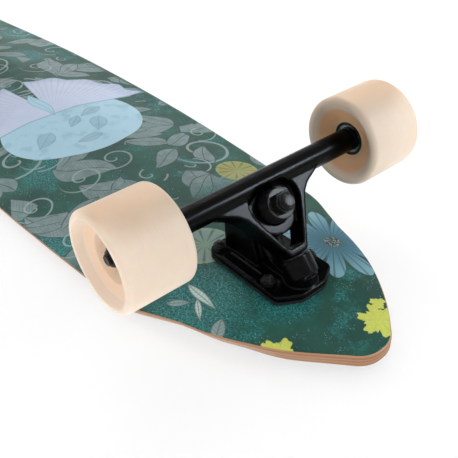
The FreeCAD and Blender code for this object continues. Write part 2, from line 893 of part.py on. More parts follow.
def makeAxle(end):
    body = axleBody("axle", end)
    half = S.axleLength / 2
    bevel = 0.7
    sketch = newSketch(body, "XZ_Plane")
    roundedLoop(sketch, [
        (0, -half), (S.axleRadius - bevel, -half), (S.axleRadius, bevel - half),
        (S.axleRadius, half - bevel), (S.axleRadius - bevel, half), (0, half)])
    turn(body, "Revolution", sketch)


def ring(body, inner, outer, start, length):
    sketch = newSketch(body, "XZ_Plane")
    roundedLoop(sketch, [
        (inner, start), (outer, start), (outer, start + length), (inner, start + length)])
    turn(body, "Revolution", sketch)


def cutTrack(body, start):
    """The groove of the balls in the race that starts at that distance."""
    track = newSketch(body, "XZ_Plane")
    circle(track, S.ballPitchRadius, start + S.bearingWidth / 2, S.ballRadius + S.runningClearance)
    turn(body, "Groove", track)


def makeAxleStack(end):
    """Washers, spacers, inner races and nuts: made on one side, then mirrored."""
    bore = S.axleRadius + S.runningClearance
    washers = axleBody("speed_washers", end)
    for start in (S.hangerHalfWidth, bearingOuterFace):
        ring(washers, bore, S.speedWasherRadius, start, S.speedWasherThickness)
    spacers = axleBody("bearing_spacers", end)
    ring(spacers, bore, S.spacerRadius, bearingInnerFace + S.bearingWidth, S.bearingGap)
    races = axleBody("bearing_inner_races", end)
    for start in (bearingInnerFace, bearingOuterFace - S.bearingWidth):
        ring(races, bore, S.raceInner, start, S.bearingWidth)
        cutTrack(races, start)
    nuts = axleBody("axle_nuts", end)
    foot = bearingOuterFace + S.speedWasherThickness
    lockNut(nuts, foot, S.axleNutFlats, S.axleNutHeight, bore)
    for body in (washers, spacers, races, nuts):
        mirrorWhole(body, "XY_Plane")


# ---- mounting hardware, standing on the flange through the deck ----

def boltBody(label, end):
    body = newBody(label + "_" + endName(end), Placement(Vector(0, 0, 0), towards(end)))
    bind(body, "Placement.Base.x", (halfBase + S.boltOffset) * end)
    bind(body, "Placement.Base.z", undersideHeight)
    return body


def atFourBolts(body):
    """Repeats the piece at one corner of the bolt pattern on the other three."""
    mirrorWhole(body, "YZ_Plane")
    mirrorWhole(body, "XZ_Plane")


def makeMountingBolts(end):
    body = boltBody("mounting_bolts", end)
    top = deckThickness + S.gripThickness
    foot = -S.riserThickness - S.flangeThickness - S.mountNutHeight - S.boltStickOut
    head = top - S.boltHeadHeight
    sketch = newSketch(body, "XZ_Plane", S.boltSpacingWide / 2)
    bind(sketch, "AttachmentOffset.Base.x", S.boltSpacingLong / 2)
    roundedLoop(sketch, [
        (0, foot), (S.boltRadius, foot), (S.boltRadius, head), (S.boltHeadRadius, top), (0, top)])
    turn(body, "Revolution", sketch)
    driver = newSketch(body, "XY_Plane", top)
    hexagon(driver, S.boltRadius * 1.3, S.boltSpacingLong / 2, -S.boltSpacingWide / 2)
    pocket(body, driver, S.boltHeadHeight * 0.7)
    atFourBolts(body)


def makeMountingNuts(end):
    body = boltBody("mounting_nuts", end)
    foot = -S.riserThickness - S.flangeThickness - S.mountNutHeight
    x, y = S.boltSpacingLong / 2, -S.boltSpacingWide / 2
    bore = S.boltRadius + S.runningClearance
    grip = S.mountNutHeight * 0.74
    outline = newSketch(body, "XY_Plane", foot + S.mountNutHeight - grip)
    hexagon(outline, S.mountNutFlats, x, y)
    circle(outline, x, y, bore)
    pad(body, outline, grip)
    collar = newSketch(body, "XY_Plane", foot)
    circle(collar, x, y, S.mountNutFlats / 2 - 0.6)
    circle(collar, x, y, bore)
    pad(body, collar, S.mountNutHeight - grip)
    atFourBolts(body)


# ---- wheels, turned about their own Z, which points away from the board ----

wheelHalf = S.wheelWidth / 2
coreFoot = bearingInnerFace - wheelCentre - S.coreEnd
coreTop = bearingOuterFace - wheelCentre + S.coreEnd


def wheelBody(label, end, side):
    name = "%s_%s_%s" % (label, endName(end), "left" if side > 0 else "right")
    body = newBody(name, Placement(Vector(0, 0, 0), Rotation(Vector(1, 0, 0), -90 * side)))
    bind(body, "Placement.Base.x", halfBase * end)
    bind(body, "Placement.Base.y", wheelCentre * side)
    bind(body, "Placement.Base.z", S.wheelRadius)
    return body


def makeTyre(end, side):
    body = wheelBody("wheel", end, side)
    sketch = newSketch(body, "XZ_Plane")
    roundedLoop(sketch, [
        (S.hubMouth, wheelHalf - S.dishDepth),
        (S.dishFloorEdge, wheelHalf - S.dishWallDepth, 2),
        (S.dishMouth, wheelHalf, 0.8),
        (S.wheelRadius, wheelHalf, S.lipRound),
        (S.wheelRadius, -wheelHalf, S.lipRound),
        (S.funnelLip, -wheelHalf),
        (S.funnelMouth, 1 - wheelHalf, 3),
        (S.hubMouth, S.funnelDepth - wheelHalf),
        (S.hubMouth, coreFoot),
        (S.coreRadius, coreFoot),
        (S.coreRadius, coreTop),
        (S.hubMouth, coreTop)])
    turn(body, "Revolution", sketch)


def makeCore(end, side):
    body = wheelBody("wheel_core", end, side)
    low = bearingInnerFace + S.bearingWidth - wheelCentre
    high = low + S.bearingGap
    sketch = newSketch(body, "XZ_Plane")
    roundedLoop(sketch, [
        (S.bearingRadius, coreFoot), (S.coreRadius, coreFoot),
        (S.coreRadius, coreTop), (S.bearingRadius, coreTop),
        (S.bearingRadius, high), (S.hubLand, high),
        (S.hubLand, low), (S.bearingRadius, low)])
    turn(body, "Revolution", sketch)


def makeBearings(end, side):
    """Outer races, balls and shields of a wheel's two bearings."""
    races = wheelBody("bearing_outer_races", end, side)
    shields = wheelBody("bearing_shields", end, side)
    balls = wheelBody("bearing_balls", end, side)
    thin = S.shieldThickness
    for start in (bearingInnerFace - wheelCentre, bearingOuterFace - S.bearingWidth - wheelCentre):
        ring(races, S.raceOuter, S.bearingRadius, start, S.bearingWidth)
        cutTrack(races, start)
        for face in (start + 0.2, start + S.bearingWidth - 0.2 - thin):
            ring(shields, S.raceInner + S.steerClearance, S.raceOuter, face, thin)
        makeBalls(balls, start + S.bearingWidth / 2)


def makeBalls(body, height):
    ball = body.newObject("PartDesign::AdditiveSphere", body.Name + "Ball")
    ball.AttachmentSupport = [(plane(body, "XY_Plane"), "")]
    ball.MapMode = "FlatFace"
    bind(ball, "AttachmentOffset.Base.x", S.ballPitchRadius)
    bind(ball, "AttachmentOffset.Base.z", height)
    bind(ball, "Radius", S.ballRadius)
    doc.recompute()
    pattern = body.newObject("PartDesign::PolarPattern", body.Name + "Pattern")
    pattern.Originals = [ball]
    pattern.Axis = (plane(body, "Z_Axis"), [""])
    pattern.Angle = 360
    bind(pattern, "Occurrences", S.ballCount)
    body.Tip = pattern
    doc.recompute()


# ---- everything ----

def makeTruck(end):
    makeRiser(end)
    makeBaseplate(end)
    makePivotCup(end)
    makeKingpin(end)
    makeKingpinNut(end)
    makeBushings(end)
    makeCupWashers(end)
    makeHanger(end)
    makeAxle(end)
    makeAxleStack(end)
    makeMountingBolts(end)
    makeMountingNuts(end)
    for side in (1, -1):
        makeTyre(end, side)
        makeCore(end, side)
        makeBearings(end, side)


def exportBodies():
    """Checks every object, then writes each body in its place as a STEP file."""
    doc.recompute()
    for item in doc.Objects:
        if "Invalid" in item.State or "Error" in item.State:
            raise ValueError("%s is %s" % (item.Label, item.State))
    os.makedirs("parts", exist_ok=True)
    for item in doc.Objects:
        if item.TypeId == "PartDesign::Body":
            if item.Shape.isNull() or not item.Shape.isValid():
                raise ValueError(item.Label + " has no valid shape")
            item.Shape.exportStep("parts/%s.step" % item.Label)


makeDeck()
makeTruck(1)
makeTruck(-1)
exportBodies()
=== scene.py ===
import json
import math
import bmesh
import bpy
from mathutils import Matrix, Vector

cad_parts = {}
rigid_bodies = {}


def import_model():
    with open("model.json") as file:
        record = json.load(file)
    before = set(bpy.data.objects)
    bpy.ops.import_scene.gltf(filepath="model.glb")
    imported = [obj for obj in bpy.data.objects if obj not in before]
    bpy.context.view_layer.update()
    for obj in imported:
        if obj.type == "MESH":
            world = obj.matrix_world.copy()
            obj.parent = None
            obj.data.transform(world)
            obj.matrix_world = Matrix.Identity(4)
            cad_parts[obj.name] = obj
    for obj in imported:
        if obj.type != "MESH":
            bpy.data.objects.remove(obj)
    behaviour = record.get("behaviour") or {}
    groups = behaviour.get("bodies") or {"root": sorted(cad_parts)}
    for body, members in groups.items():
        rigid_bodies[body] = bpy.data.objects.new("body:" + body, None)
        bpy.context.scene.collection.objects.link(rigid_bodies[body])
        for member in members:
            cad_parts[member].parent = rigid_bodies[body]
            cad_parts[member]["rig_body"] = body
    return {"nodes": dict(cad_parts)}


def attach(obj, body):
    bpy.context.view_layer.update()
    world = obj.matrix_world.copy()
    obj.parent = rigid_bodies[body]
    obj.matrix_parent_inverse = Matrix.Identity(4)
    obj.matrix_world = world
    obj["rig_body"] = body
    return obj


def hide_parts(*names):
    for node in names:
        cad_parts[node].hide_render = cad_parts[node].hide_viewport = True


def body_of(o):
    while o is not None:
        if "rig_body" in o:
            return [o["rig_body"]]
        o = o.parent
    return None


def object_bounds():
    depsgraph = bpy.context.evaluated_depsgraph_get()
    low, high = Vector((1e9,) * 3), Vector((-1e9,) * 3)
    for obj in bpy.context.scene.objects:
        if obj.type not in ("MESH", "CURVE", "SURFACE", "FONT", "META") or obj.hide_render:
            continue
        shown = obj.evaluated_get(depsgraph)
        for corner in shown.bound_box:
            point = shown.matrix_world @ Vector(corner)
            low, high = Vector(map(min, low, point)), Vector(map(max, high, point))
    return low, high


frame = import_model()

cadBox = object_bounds()
nodes = frame["nodes"]
mm = 0.001
fullTurn = 6.283
print("frame loaded")

cameraPlace = {
    "position": (0.6683, 0.2499, -0.2072),
    "right": (0.6406, -0.7668, 0.0413),
    "up": (-0.4394, -0.4101, -0.7992),
    "forward": (-0.6298, -0.4938, 0.5996),
    "lens": 50.28,
    "sensor": 36.0,
    "clip": (0.01, 50),
}


def looseObject(name, data):
    made = bpy.data.objects.new(name, data)
    bpy.context.scene.collection.objects.link(made)
    return made


def makeCamera(place):
    data = bpy.data.cameras.new("camera")
    data.lens = place["lens"]
    data.sensor_width = place["sensor"]
    data.clip_start, data.clip_end = place["clip"]
    camera = looseObject("camera", data)
    columns = [place["right"], place["up"], [-value for value in place["forward"]]]
    turn = Matrix(columns).transposed().to_4x4()
    camera.matrix_world = Matrix.Translation(place["position"]) @ turn
    bpy.context.scene.camera = camera


makeCamera(cameraPlace)
bpy.context.scene.view_settings.view_transform = "Standard"


class Sock:
    # one output of a node; an expression on it adds Math nodes
    def __init__(self, paint, link):
        self.paint = paint
        self.link = link

    def __abs__(self):
        return self.paint.math("ABSOLUTE", self)


def addOperator(sign, operation):
    setattr(Sock, "__%s__" % sign, lambda self, other: self.paint.math(operation, self, other))
    setattr(Sock, "__r%s__" % sign, lambda self, other: self.paint.math(operation, other, self))


for mathSign, mathOperation in (("add", "ADD"), ("sub", "SUBTRACT"), ("mul", "MULTIPLY"), ("truediv", "DIVIDE")):
    addOperator(mathSign, mathOperation)


class Paint:
    # the nodes of a new material, or of the world or group that is given
    def __init__(self, name, owner=None):
        self.owner = owner or bpy.data.materials.new(name)
        if hasattr(self.owner, "use_nodes"):
            self.owner.use_nodes = True
        self.tree = getattr(self.owner, "node_tree", self.owner)
        self.tree.nodes.clear()

    def node(self, kind, settings=None, inputs=None):
        made = self.tree.nodes.new(kind)
        for key, setting in (settings or {}).items():
            setattr(made, key, setting)
        for key, given in (inputs or {}).items():
            if isinstance(given, Sock):
                self.tree.links.new(given.link, made.inputs[key])
            else:
                made.inputs[key].default_value = given
        return made

    def out(self, made, name=0):
        return Sock(self, made.outputs[name])

    def math(self, operation, *values):
        return self.out(self.node("ShaderNodeMath", {"operation": operation}, dict(enumerate(values))))

    def sine(self, value):
        return self.math("SINE", value)

    def step(self, value, low, high):
        # smooth rise from 0 at low to 1 at high
        made = self.node("ShaderNodeMapRange", {"interpolation_type": "SMOOTHSTEP"},
                         {"Value": value, "From Min": low, "From Max": high})
        return self.out(made, "Result")

    def blend(self, mask, first, second):
        made = self.node("ShaderNodeMix", {"data_type": "RGBA"}, {0: mask, 6: first, 7: second})
        return self.out(made, 2)

    def split(self, vector):
        made = self.node("ShaderNodeSeparateXYZ", {}, {0: vector})
        return [self.out(made, axis) for axis in range(3)]

    def join(self, x, y, z=0.0):
        return self.out(self.node("ShaderNodeCombineXYZ", {}, {0: x, 1: y, 2: z}))

    def place(self, scale=(1, 1, 1), turn=(0, 0, 0), shift=(0, 0, 0)):
        # object coordinates, moved, turned and scaled
        source = self.out(self.node("ShaderNodeTexCoord"), "Object")
        return self.out(self.node("ShaderNodeMapping", {}, {
            "Vector": source, "Location": shift, "Rotation": turn, "Scale": scale}))

    def plyPlace(self):
        # run along the rim, depth from the rim and height in the deck, in mm
        return self.split(self.out(self.node("ShaderNodeAttribute", {"attribute_name": "plyPlace"}), "Vector"))

    def length(self, x, y):
        return self.math("SQRT", x * x + y * y)

    def noise(self, place, scale, detail=3.0, roughness=0.5, distortion=0.0):
        return self.out(self.node("ShaderNodeTexNoise", {}, {
            "Vector": place, "Scale": scale, "Detail": detail, "Roughness": roughness,
            "Distortion": distortion}))

    def cells(self, place, scale):
        return self.out(self.node("ShaderNodeTexVoronoi", {}, {"Vector": place, "Scale": scale}), "Distance")

    def bump(self, height, distance, strength):
        return self.out(self.node("ShaderNodeBump", {}, {
            "Height": height, "Distance": distance, "Strength": strength}))

    def mixShader(self, factor, first, second):
        return self.out(self.node("ShaderNodeMixShader", {}, {0: factor, 1: first, 2: second}))

    def seesBackground(self):
        # 1 for the rays that show the white background: from the camera, a reflection or glass
        rays = self.node("ShaderNodeLightPath")
        return self.math("MAXIMUM", self.out(rays, "Is Camera Ray"), self.math(
            "MAXIMUM", self.out(rays, "Is Glossy Ray"), self.out(rays, "Is Transmission Ray")))

    def surface(self, **inputs):
        names = {"color": "Base Color", "rough": "Roughness", "metal": "Metallic", "normal": "Normal",
                 "specular": "Specular IOR Level", "soft": "Subsurface Weight",
                 "softScale": "Subsurface Scale", "softRadius": "Subsurface Radius"}
        made = self.node("ShaderNodeBsdfPrincipled", {}, {names[key]: value for key, value in inputs.items()})
        self.node("ShaderNodeOutputMaterial", {}, {"Surface": self.out(made)})
        return self.owner


def srgb(red, green, blue):
    # a colour written in 0-255 display values
    def linear(value):
        value = value / 255
        return value / 12.92 if value < 0.04045 else ((value + 0.055) / 1.055) ** 2.4
    return (linear(red), linear(green), linear(blue), 1)


white = (1, 1, 1, 1)

# The floor is seen from above only, and the backdrop over the deck from below only.
stageLook = {
    # share of plain white over the lit paper, and the distances over which it becomes all white, in metres
    "whiteShare": 0.72, "fadeFrom": 0.75, "fadeTo": 1.5, "paper": srgb(250, 250, 250), "half": 8.0,
    "backdropGap": 0.0005,
}


def makeStageMaterial(name, seenFromFront):
    look = stageLook
    paint = Paint(name)
    x, y, _ = paint.split(paint.place())
    far = paint.step(paint.length(x, y), look["fadeFrom"], look["fadeTo"])
    share = look["whiteShare"] + far * (1 - look["whiteShare"])
    paper = paint.out(paint.node("ShaderNodeBsdfDiffuse", {}, {"Color": look["paper"]}))
    glow = paint.out(paint.node("ShaderNodeEmission", {}, {"Color": white, "Strength": 1.0}))
    shown = paint.mixShader(paint.seesBackground() * share, paper, glow)
    back = paint.out(paint.node("ShaderNodeNewGeometry"), "Backfacing")
    clear = paint.out(paint.node("ShaderNodeBsdfTransparent"))
    last = paint.mixShader(back if seenFromFront else 1 - back, shown, clear)
    paint.node("ShaderNodeOutputMaterial", {}, {"Surface": last})
    return paint.owner


def makePlane(name, height, seenFromFront):
    half = stageLook["half"]
    mesh = bpy.data.meshes.new(name)
    corners = [(-half, -half, height), (half, -half, height), (half, half, height), (-half, half, height)]
    mesh.from_pydata(corners, [], [(0, 1, 2, 3)])
    mesh.materials.append(makeStageMaterial(name, seenFromFront))
    plane = looseObject(name, mesh)
    plane.visible_shadow = False


makePlane("floor", 0.0, True)
makePlane("backdrop", cadBox[1][2] + stageLook["backdropGap"], False)

lampLook = {
    # where each soft box stands, what it looks at, its width and height, its power and its tint
    "key": ((1.30, -0.85, -0.75), (0.40, 0, 0.06), 0.34, 0.34, 3.0, (0.92, 0.96, 1.0)),
    "fill": ((0.7, 1.6, -0.7), (0.35, 0, 0.06), 1.0, 1.0, 1.2, (1, 1, 1)),
    "under": ((-0.75, -0.45, -1.5), (0.3, 0, 0.05), 1.5, 1.5, 12.0, (1, 1, 1)),
    "top": ((0.3, 0.4, 1.9), (0, 0, 0.1), 1.5, 1.5, 13, (1, 1, 1)),
    "rear": ((-1.4, -1.0, 1.3), (0, 0, 0.1), 1.2, 1.2, 12, (1, 1, 1)),
    # seen by reflections only: the sheen on the black castings
    "sheen": ((1.36, -0.84, -0.74), (0.39, 0, 0.05), 0.34, 0.34, 11.0, (0.76, 0.87, 1.0)),
}


def makeLamp(name, stand, target, width, height, power, tint):
    data = bpy.data.lights.new(name, "AREA")
    data.shape = "RECTANGLE"
    data.size = width
    data.size_y = height
    data.energy = power
    data.color = tint
    data.cycles.use_multiple_importance_sampling = False  # the floor stands between a lamp and stray rays
    lamp = looseObject(name, data)
    lamp.visible_diffuse = name != "sheen"
    aim = Vector(target) - Vector(stand)
    lamp.matrix_world = Matrix.Translation(stand) @ aim.to_track_quat("-Z", "Y").to_matrix().to_4x4()


for lampName, lampPlan in lampLook.items():
    makeLamp(lampName, *lampPlan)

worldLook = {"light": 0.46, "white": 1.0}


def makeWorld():
    # even light on the object, and plain white behind it and in what it reflects
    world = bpy.data.worlds.new("studio")
    paint = Paint("studio", world)
    light, background = [paint.out(paint.node("ShaderNodeBackground", {}, {"Color": white, "Strength": worldLook[key]}))
                         for key in ("light", "white")]
    shown = paint.mixShader(paint.seesBackground(), light, background)
    paint.node("ShaderNodeOutputWorld", {}, {"Surface": shown})
    bpy.context.scene.world = world


makeWorld()
print("stage ready")


def roundCorners(corners, turnStep=10.0, closed=True):
    # a path through (x, y) or (x, y, radius) corners, with each rounded by its radius
    points = []
    count = len(corners)
    for index, corner in enumerate(corners):
        here = Vector(corner[:2])
        radius = corner[2] if len(corner) > 2 else 0
        if not radius or (not closed and index in (0, count - 1)):
            points.append(here)
            continue
        before = (Vector(corners[index - 1][:2]) - here).normalized()
        after = (Vector(corners[(index + 1) % count][:2]) - here).normalized()
        half = before.angle(after) / 2
        sweep = math.pi - 2 * half
        middle = here + (before + after).normalized() * (radius / math.sin(half))
        start = here + before * (radius / math.tan(half)) - middle
        sense = 1 if before.x * after.y - before.y * after.x < 0 else -1
        steps = max(2, math.ceil(math.degrees(sweep) / turnStep))
        for step in range(steps + 1):
            angle = sense * sweep * step / steps
            points.append(middle + Vector((
                start.x * math.cos(angle) - start.y * math.sin(angle),
                start.x * math.sin(angle) + start.y * math.cos(angle))))
    return points


def finishMesh(name, built, place=None, sharp=35.0):
    # welds, turns the faces outwards, smooths and puts the mesh in its place
    bmesh.ops.remove_doubles(built, verts=built.verts, dist=1e-7)
    bmesh.ops.dissolve_degenerate(built, edges=built.edges, dist=1e-8)
    bmesh.ops.recalc_face_normals(built, faces=built.faces)
    if place is not None:
        built.transform(place)
    mesh = bpy.data.meshes.new(name)
    built.to_mesh(mesh)
    built.free()
    mesh.polygons.foreach_set("use_smooth", [True] * len(mesh.polygons))
    mesh.set_sharp_from_angle(angle=math.radians(sharp))
    return mesh


def skin(built, rings, closed):
    # joins each ring of points to the next; a closed skin joins the last to the first
    made = [[built.verts.new(point) for point in ring] for ring in rings]
    pairs = list(zip(made, made[1:]))
    if closed:
        pairs.append((made[-1], made[0]))
    for lower, upper in pairs:
        size = len(lower)
        for index in range(size):
            after = (index + 1) % size
            built.faces.new((lower[index], lower[after], upper[after], upper[index]))
    return made


def circleRing(segments, radius, height, flats=0.0):
    # a ring about Z, cut to a hexagon where the width across flats is given; all in mm
    ring = []
    for index in range(segments):
        angle = 2 * math.pi * index / segments
        reach = radius * mm
        if flats:
            bend = (angle + math.pi / 6) % (math.pi / 3) - math.pi / 6
            reach = min(reach, flats * mm / 2 / math.cos(bend))
        ring.append((reach * math.cos(angle), reach * math.sin(angle), height * mm))
    return ring


def ringed(name, rings, segments=96, place=None, closed=True, sharp=28.0):
    # a skin over rings of (radius, height) or (radius, height, width across flats), in mm
    built = bmesh.new()
    skin(built, [circleRing(segments, *ring) for ring in rings], closed)
    return finishMesh(name, built, place, sharp)


def turned(name, corners, segments, place, sharp):
    # a closed outline of (radius, height, corner radius) in mm, turned about Z
    return ringed(name, roundCorners(corners), segments, place, True, sharp)


def joinMeshes(name, meshes):
    # several meshes, each with its own materials, in one
    built = bmesh.new()
    materials = []
    for mesh in meshes:
        first = len(built.faces)
        built.from_mesh(mesh)
        built.faces.ensure_lookup_table()
        for face in built.faces[first:]:
            face.material_index += len(materials)
        materials += list(mesh.materials)
    joined = bpy.data.meshes.new(name)
    built.to_mesh(joined)
    built.free()
    for material in materials:
        joined.materials.append(material)
    return joined


def withMaterial(mesh, *materials):
    for material in materials:
        mesh.materials.append(material)
    return mesh


def addPiece(name, mesh, body, slotName, *replaced):
    piece = looseObject(name, mesh)
    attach(piece, body)
    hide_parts(*replaced)


def addJoined(name, meshes, *facts):
    addPiece(name, joinMeshes(name, meshes), *facts)


def applied(piece, name):
    # the object's mesh with its modifiers done, as a plain mesh; the object goes
    graph = bpy.context.evaluated_depsgraph_get()
    mesh = bpy.data.meshes.new_from_object(piece.evaluated_get(graph), preserve_all_data_layers=True, depsgraph=graph)
    mesh.name = name
    bpy.data.objects.remove(piece)
    return mesh


# Where the trucks' pieces stand. The steering axis leans 50 degrees.
truckPlan = {
    "axleX": 388.0, "axleZ": 35.0, "wheelY": 106.0, "kingpinReach": 18.5,
    "deckUnderside": 103.5, "lean": 50.0,
}
ends = (("rear", 1), ("front", -1))
sides = (("left", 1), ("right", -1))


def kingpinFrame(end):
    # Z runs along the kingpin to its nut, measured from the axle's centre line
    lean = math.radians(truckPlan["lean"])
    reach = truckPlan["kingpinReach"]
    origin = (truckPlan["axleX"] + reach * math.cos(lean), 0, truckPlan["axleZ"] + reach * math.sin(lean))
    return (Matrix.Rotation(0 if end > 0 else math.pi, 4, "Z") @ Matrix.Translation(Vector(origin) * mm)
            @ Matrix.Rotation(math.radians(180 - truckPlan["lean"]), 4, "Y"))


def axleFrame(end, side, out):
    # Z points away from the board along the axle, measured from a point that far out
    origin = Vector((truckPlan["axleX"] * end, out * side, truckPlan["axleZ"]))
    return Matrix.Translation(origin * mm) @ Matrix.Rotation(-math.pi / 2 * side, 4, "X")


printTones = {
    "deepGreen": srgb(14, 60, 52), "green": srgb(24, 82, 68), "teal": srgb(44, 136, 132),
    "speckle": srgb(140, 204, 208), "blue": srgb(44, 122, 166), "ink": srgb(44, 66, 66),
    "leafPale": srgb(152, 168, 168), "leafDark": srgb(66, 94, 92), "disc": srgb(172, 206, 222),
    "discShade": srgb(122, 164, 182), "fan": srgb(206, 211, 230), "fanVein": srgb(160, 172, 200),
    "petal": srgb(62, 118, 142), "petalTip": srgb(128, 176, 192), "yellow": srgb(200, 206, 84),
    "lime": srgb(128, 168, 96), "peel": srgb(176, 160, 84), "pith": srgb(74, 84, 44),
    "cream": srgb(210, 226, 220), "worn": srgb(206, 170, 138),
}
printPlan = {
    # places and sizes in mm from the middle of the board; all but the disc and the fans are at both ends
    "patches": (((392, 62), 40), ((145, 58), 28), ((335, 70), 34), ((250, 96), 32), ((428, 16), 26),
                ((290, -40), 26)),
    # scattered leaves: cell size, shift of the cells and the share of cells with a leaf
    "fields": ((72.0, 13.0, 0.85), (47.0, 171.0, 0.6)), "fieldEnd": (300, 262), "fieldSide": (118, 112),
    "disc": (79, -6), "discRim": (75.4, 74.8),
    # single leaves: centre, turn, half length and half width
    "discLeaves": (((98, 34), 60, (15, 10)), ((102, -26), 40, (17, 9)), ((70, -34), 75, (16, 7)),
                   ((82, -8), 50, (13, 6)), ((126, -2), 100, (14, 7))),
    "sprays": (((386, 57), 5, (17, 3.4), "cream"), ((394, 66), 35, (10, 2.4), "cream"),
               ((378, 72), -40, (9, 3), "leafPale"), ((420, 70), 60, (12, 5), "leafPale"),
               ((330, 96), 20, (13, 5), "lime"), ((318, -42), 80, (14, 5), "leafPale")),
    "fans": (50, 0), "fanReach": 101, "fanRibs": 74, "fanWaves": 17, "fanGap": (0.10, 0.13),
    "fanSpread": (1.57, 1.55),
    "spineLeaf": ((20, 0), 0, (34, 6.5)),
    "flower": (406, -59), "flowerTurn": 10, "flowerSize": 48, "petals": 11,
    # slices: centre, radius, colour and the colour of the spokes
    "slices": (((345, 21), 22, "leafPale", "green"), ((268, -77), 20, "peel", "pith")), "spokes": 11,
    # ragged scraps: centre, radius, lobes and turn
    "scraps": (((463, 54), 14, 5, 20), ((487, -18), 15, 6, 70), ((476, -30), 6, 3, 0)),
}


class Ground:
    # the offsets of a spot from a centre, turned by an angle
    def __init__(self, paint, x, y, centre, degrees=0.0):
        dx = x - centre[0]
        dy = y - centre[1]
        cosine = math.cos(math.radians(degrees))
        sine = math.sin(math.radians(degrees))
        self.along = dx * cosine + dy * sine
        self.across = dy * cosine - dx * sine
        self.reach = paint.length(dx, dy)
        self.angle = paint.math("ARCTAN2", self.across, self.along)


def leafShape(paint, along, across, length, width):
    # mask, outline and veins of a pointed leaf
    share = along / length
    inside = paint.step(abs(share), 1.01, 0.98)
    edge = (1 - share * share) * (1 - share * 0.35) * width
    depth = edge - abs(across)
    mask = paint.step(depth, -0.3, 0.3) * inside
    outline = paint.step(abs(depth), 0.9, 0.3) * inside
    middle = paint.step(abs(across), 0.7, 0.2) * mask
    ribs = paint.sine((along + abs(across) * 0.8) * 1.9)
    return mask, paint.math("MAXIMUM", outline, middle), paint.step(ribs, 0.72, 0.98) * mask


def leafField(paint, color, size, shift, density):
    # leaves scattered by cells, each turned its own way, with coils of tendril in the other cells
    tones = printTones
    shifted = paint.place((1000, 1000, 0), (0, 0, 0), (shift, shift * 0.6, 0))
    cell = paint.node("ShaderNodeTexVoronoi", {"feature": "F1"}, {
        "Vector": shifted, "Scale": 1 / size, "Randomness": 0.7})
    away = paint.node("ShaderNodeVectorMath", {"operation": "SUBTRACT"}, {
        0: shifted, 1: paint.out(cell, "Position")})
    dx, dy, _ = paint.split(paint.out(away))
    pick, other, _ = paint.split(paint.out(cell, "Color"))
    turn = pick * fullTurn
    cosine, sine = paint.math("COSINE", turn), paint.sine(turn)
    along = dx * cosine + dy * sine
    bent = dy * cosine - dx * sine + paint.sine(along * 0.09) * 3.5
    mask, outline, veins = leafShape(paint, along, bent, size * 0.5, size * 0.23)
    reach = paint.length(dx, dy)
    coil = paint.sine(reach * (9 / size) * 2.2 - paint.math("ARCTAN2", dy, dx))
    tendril = paint.step(coil, 0.86, 0.98) * paint.step(reach, size * 0.5, size * 0.42)
    present = paint.step(other, 1 - density, 1.02 - density)
    pale = paint.blend(paint.noise(shifted, 0.11, 4, 0.6), tones["leafDark"], tones["leafPale"])
    color = paint.blend(tendril * (1 - present) * 0.7, color, tones["leafPale"])
    color = paint.blend(mask * present * 0.92, color, paint.blend(veins * 0.35, pale, tones["ink"]))
    return paint.blend(outline * present * 0.85, color, tones["ink"])


def addLeaf(paint, color, x, y, leaf, pale, dark, share=1.0):
    centre, degrees, size = leaf
    ground = Ground(paint, x, y, centre, degrees)
    bent = ground.across + paint.sine(ground.along * 0.1) * (size[1] * 0.25)
    mask, outline, veins = leafShape(paint, ground.along, bent, *size)
    color = paint.blend(mask * share, color, paint.blend(veins * 0.4, pale, dark))
    return paint.blend(outline * 0.7 * share, color, dark)


def addGround(paint, spot, x, y, fine):
    # mottled green, with clouds of teal, blue and pale specks
    tones = printTones
    broad = paint.step(paint.noise(spot, 0.016, 5, 0.6), 0.35, 0.66)
    color = paint.blend(broad, tones["deepGreen"], tones["green"])
    cloud = paint.step(paint.noise(spot, 0.024, 5, 0.7), 0.52, 0.66)
    for centre, size in printPlan["patches"]:
        patch = Ground(paint, x, y, centre)
        cloud = paint.math("MAXIMUM", cloud, paint.step(patch.reach, size * 1.3, size * 0.5))
    color = paint.blend(cloud * paint.step(fine, 0.44, 0.58) * 0.8, color, tones["teal"])
    color = paint.blend(cloud * paint.step(paint.noise(spot, 0.9, 2, 0.6), 0.56, 0.66) * 0.6, color, tones["blue"])
    dots = paint.step(paint.cells(spot, 0.62), 0.24, 0.12)
    sparse = paint.step(paint.noise(spot, 0.06, 3, 0.6), 0.5, 0.6)
    color = paint.blend(dots * paint.math("MAXIMUM", cloud, sparse) * 0.65, color, tones["speckle"])
    shade = paint.step(paint.noise(spot, 0.2, 5, 0.7), 0.55, 0.75) * 0.35
    return paint.blend(shade, color, tones["deepGreen"])


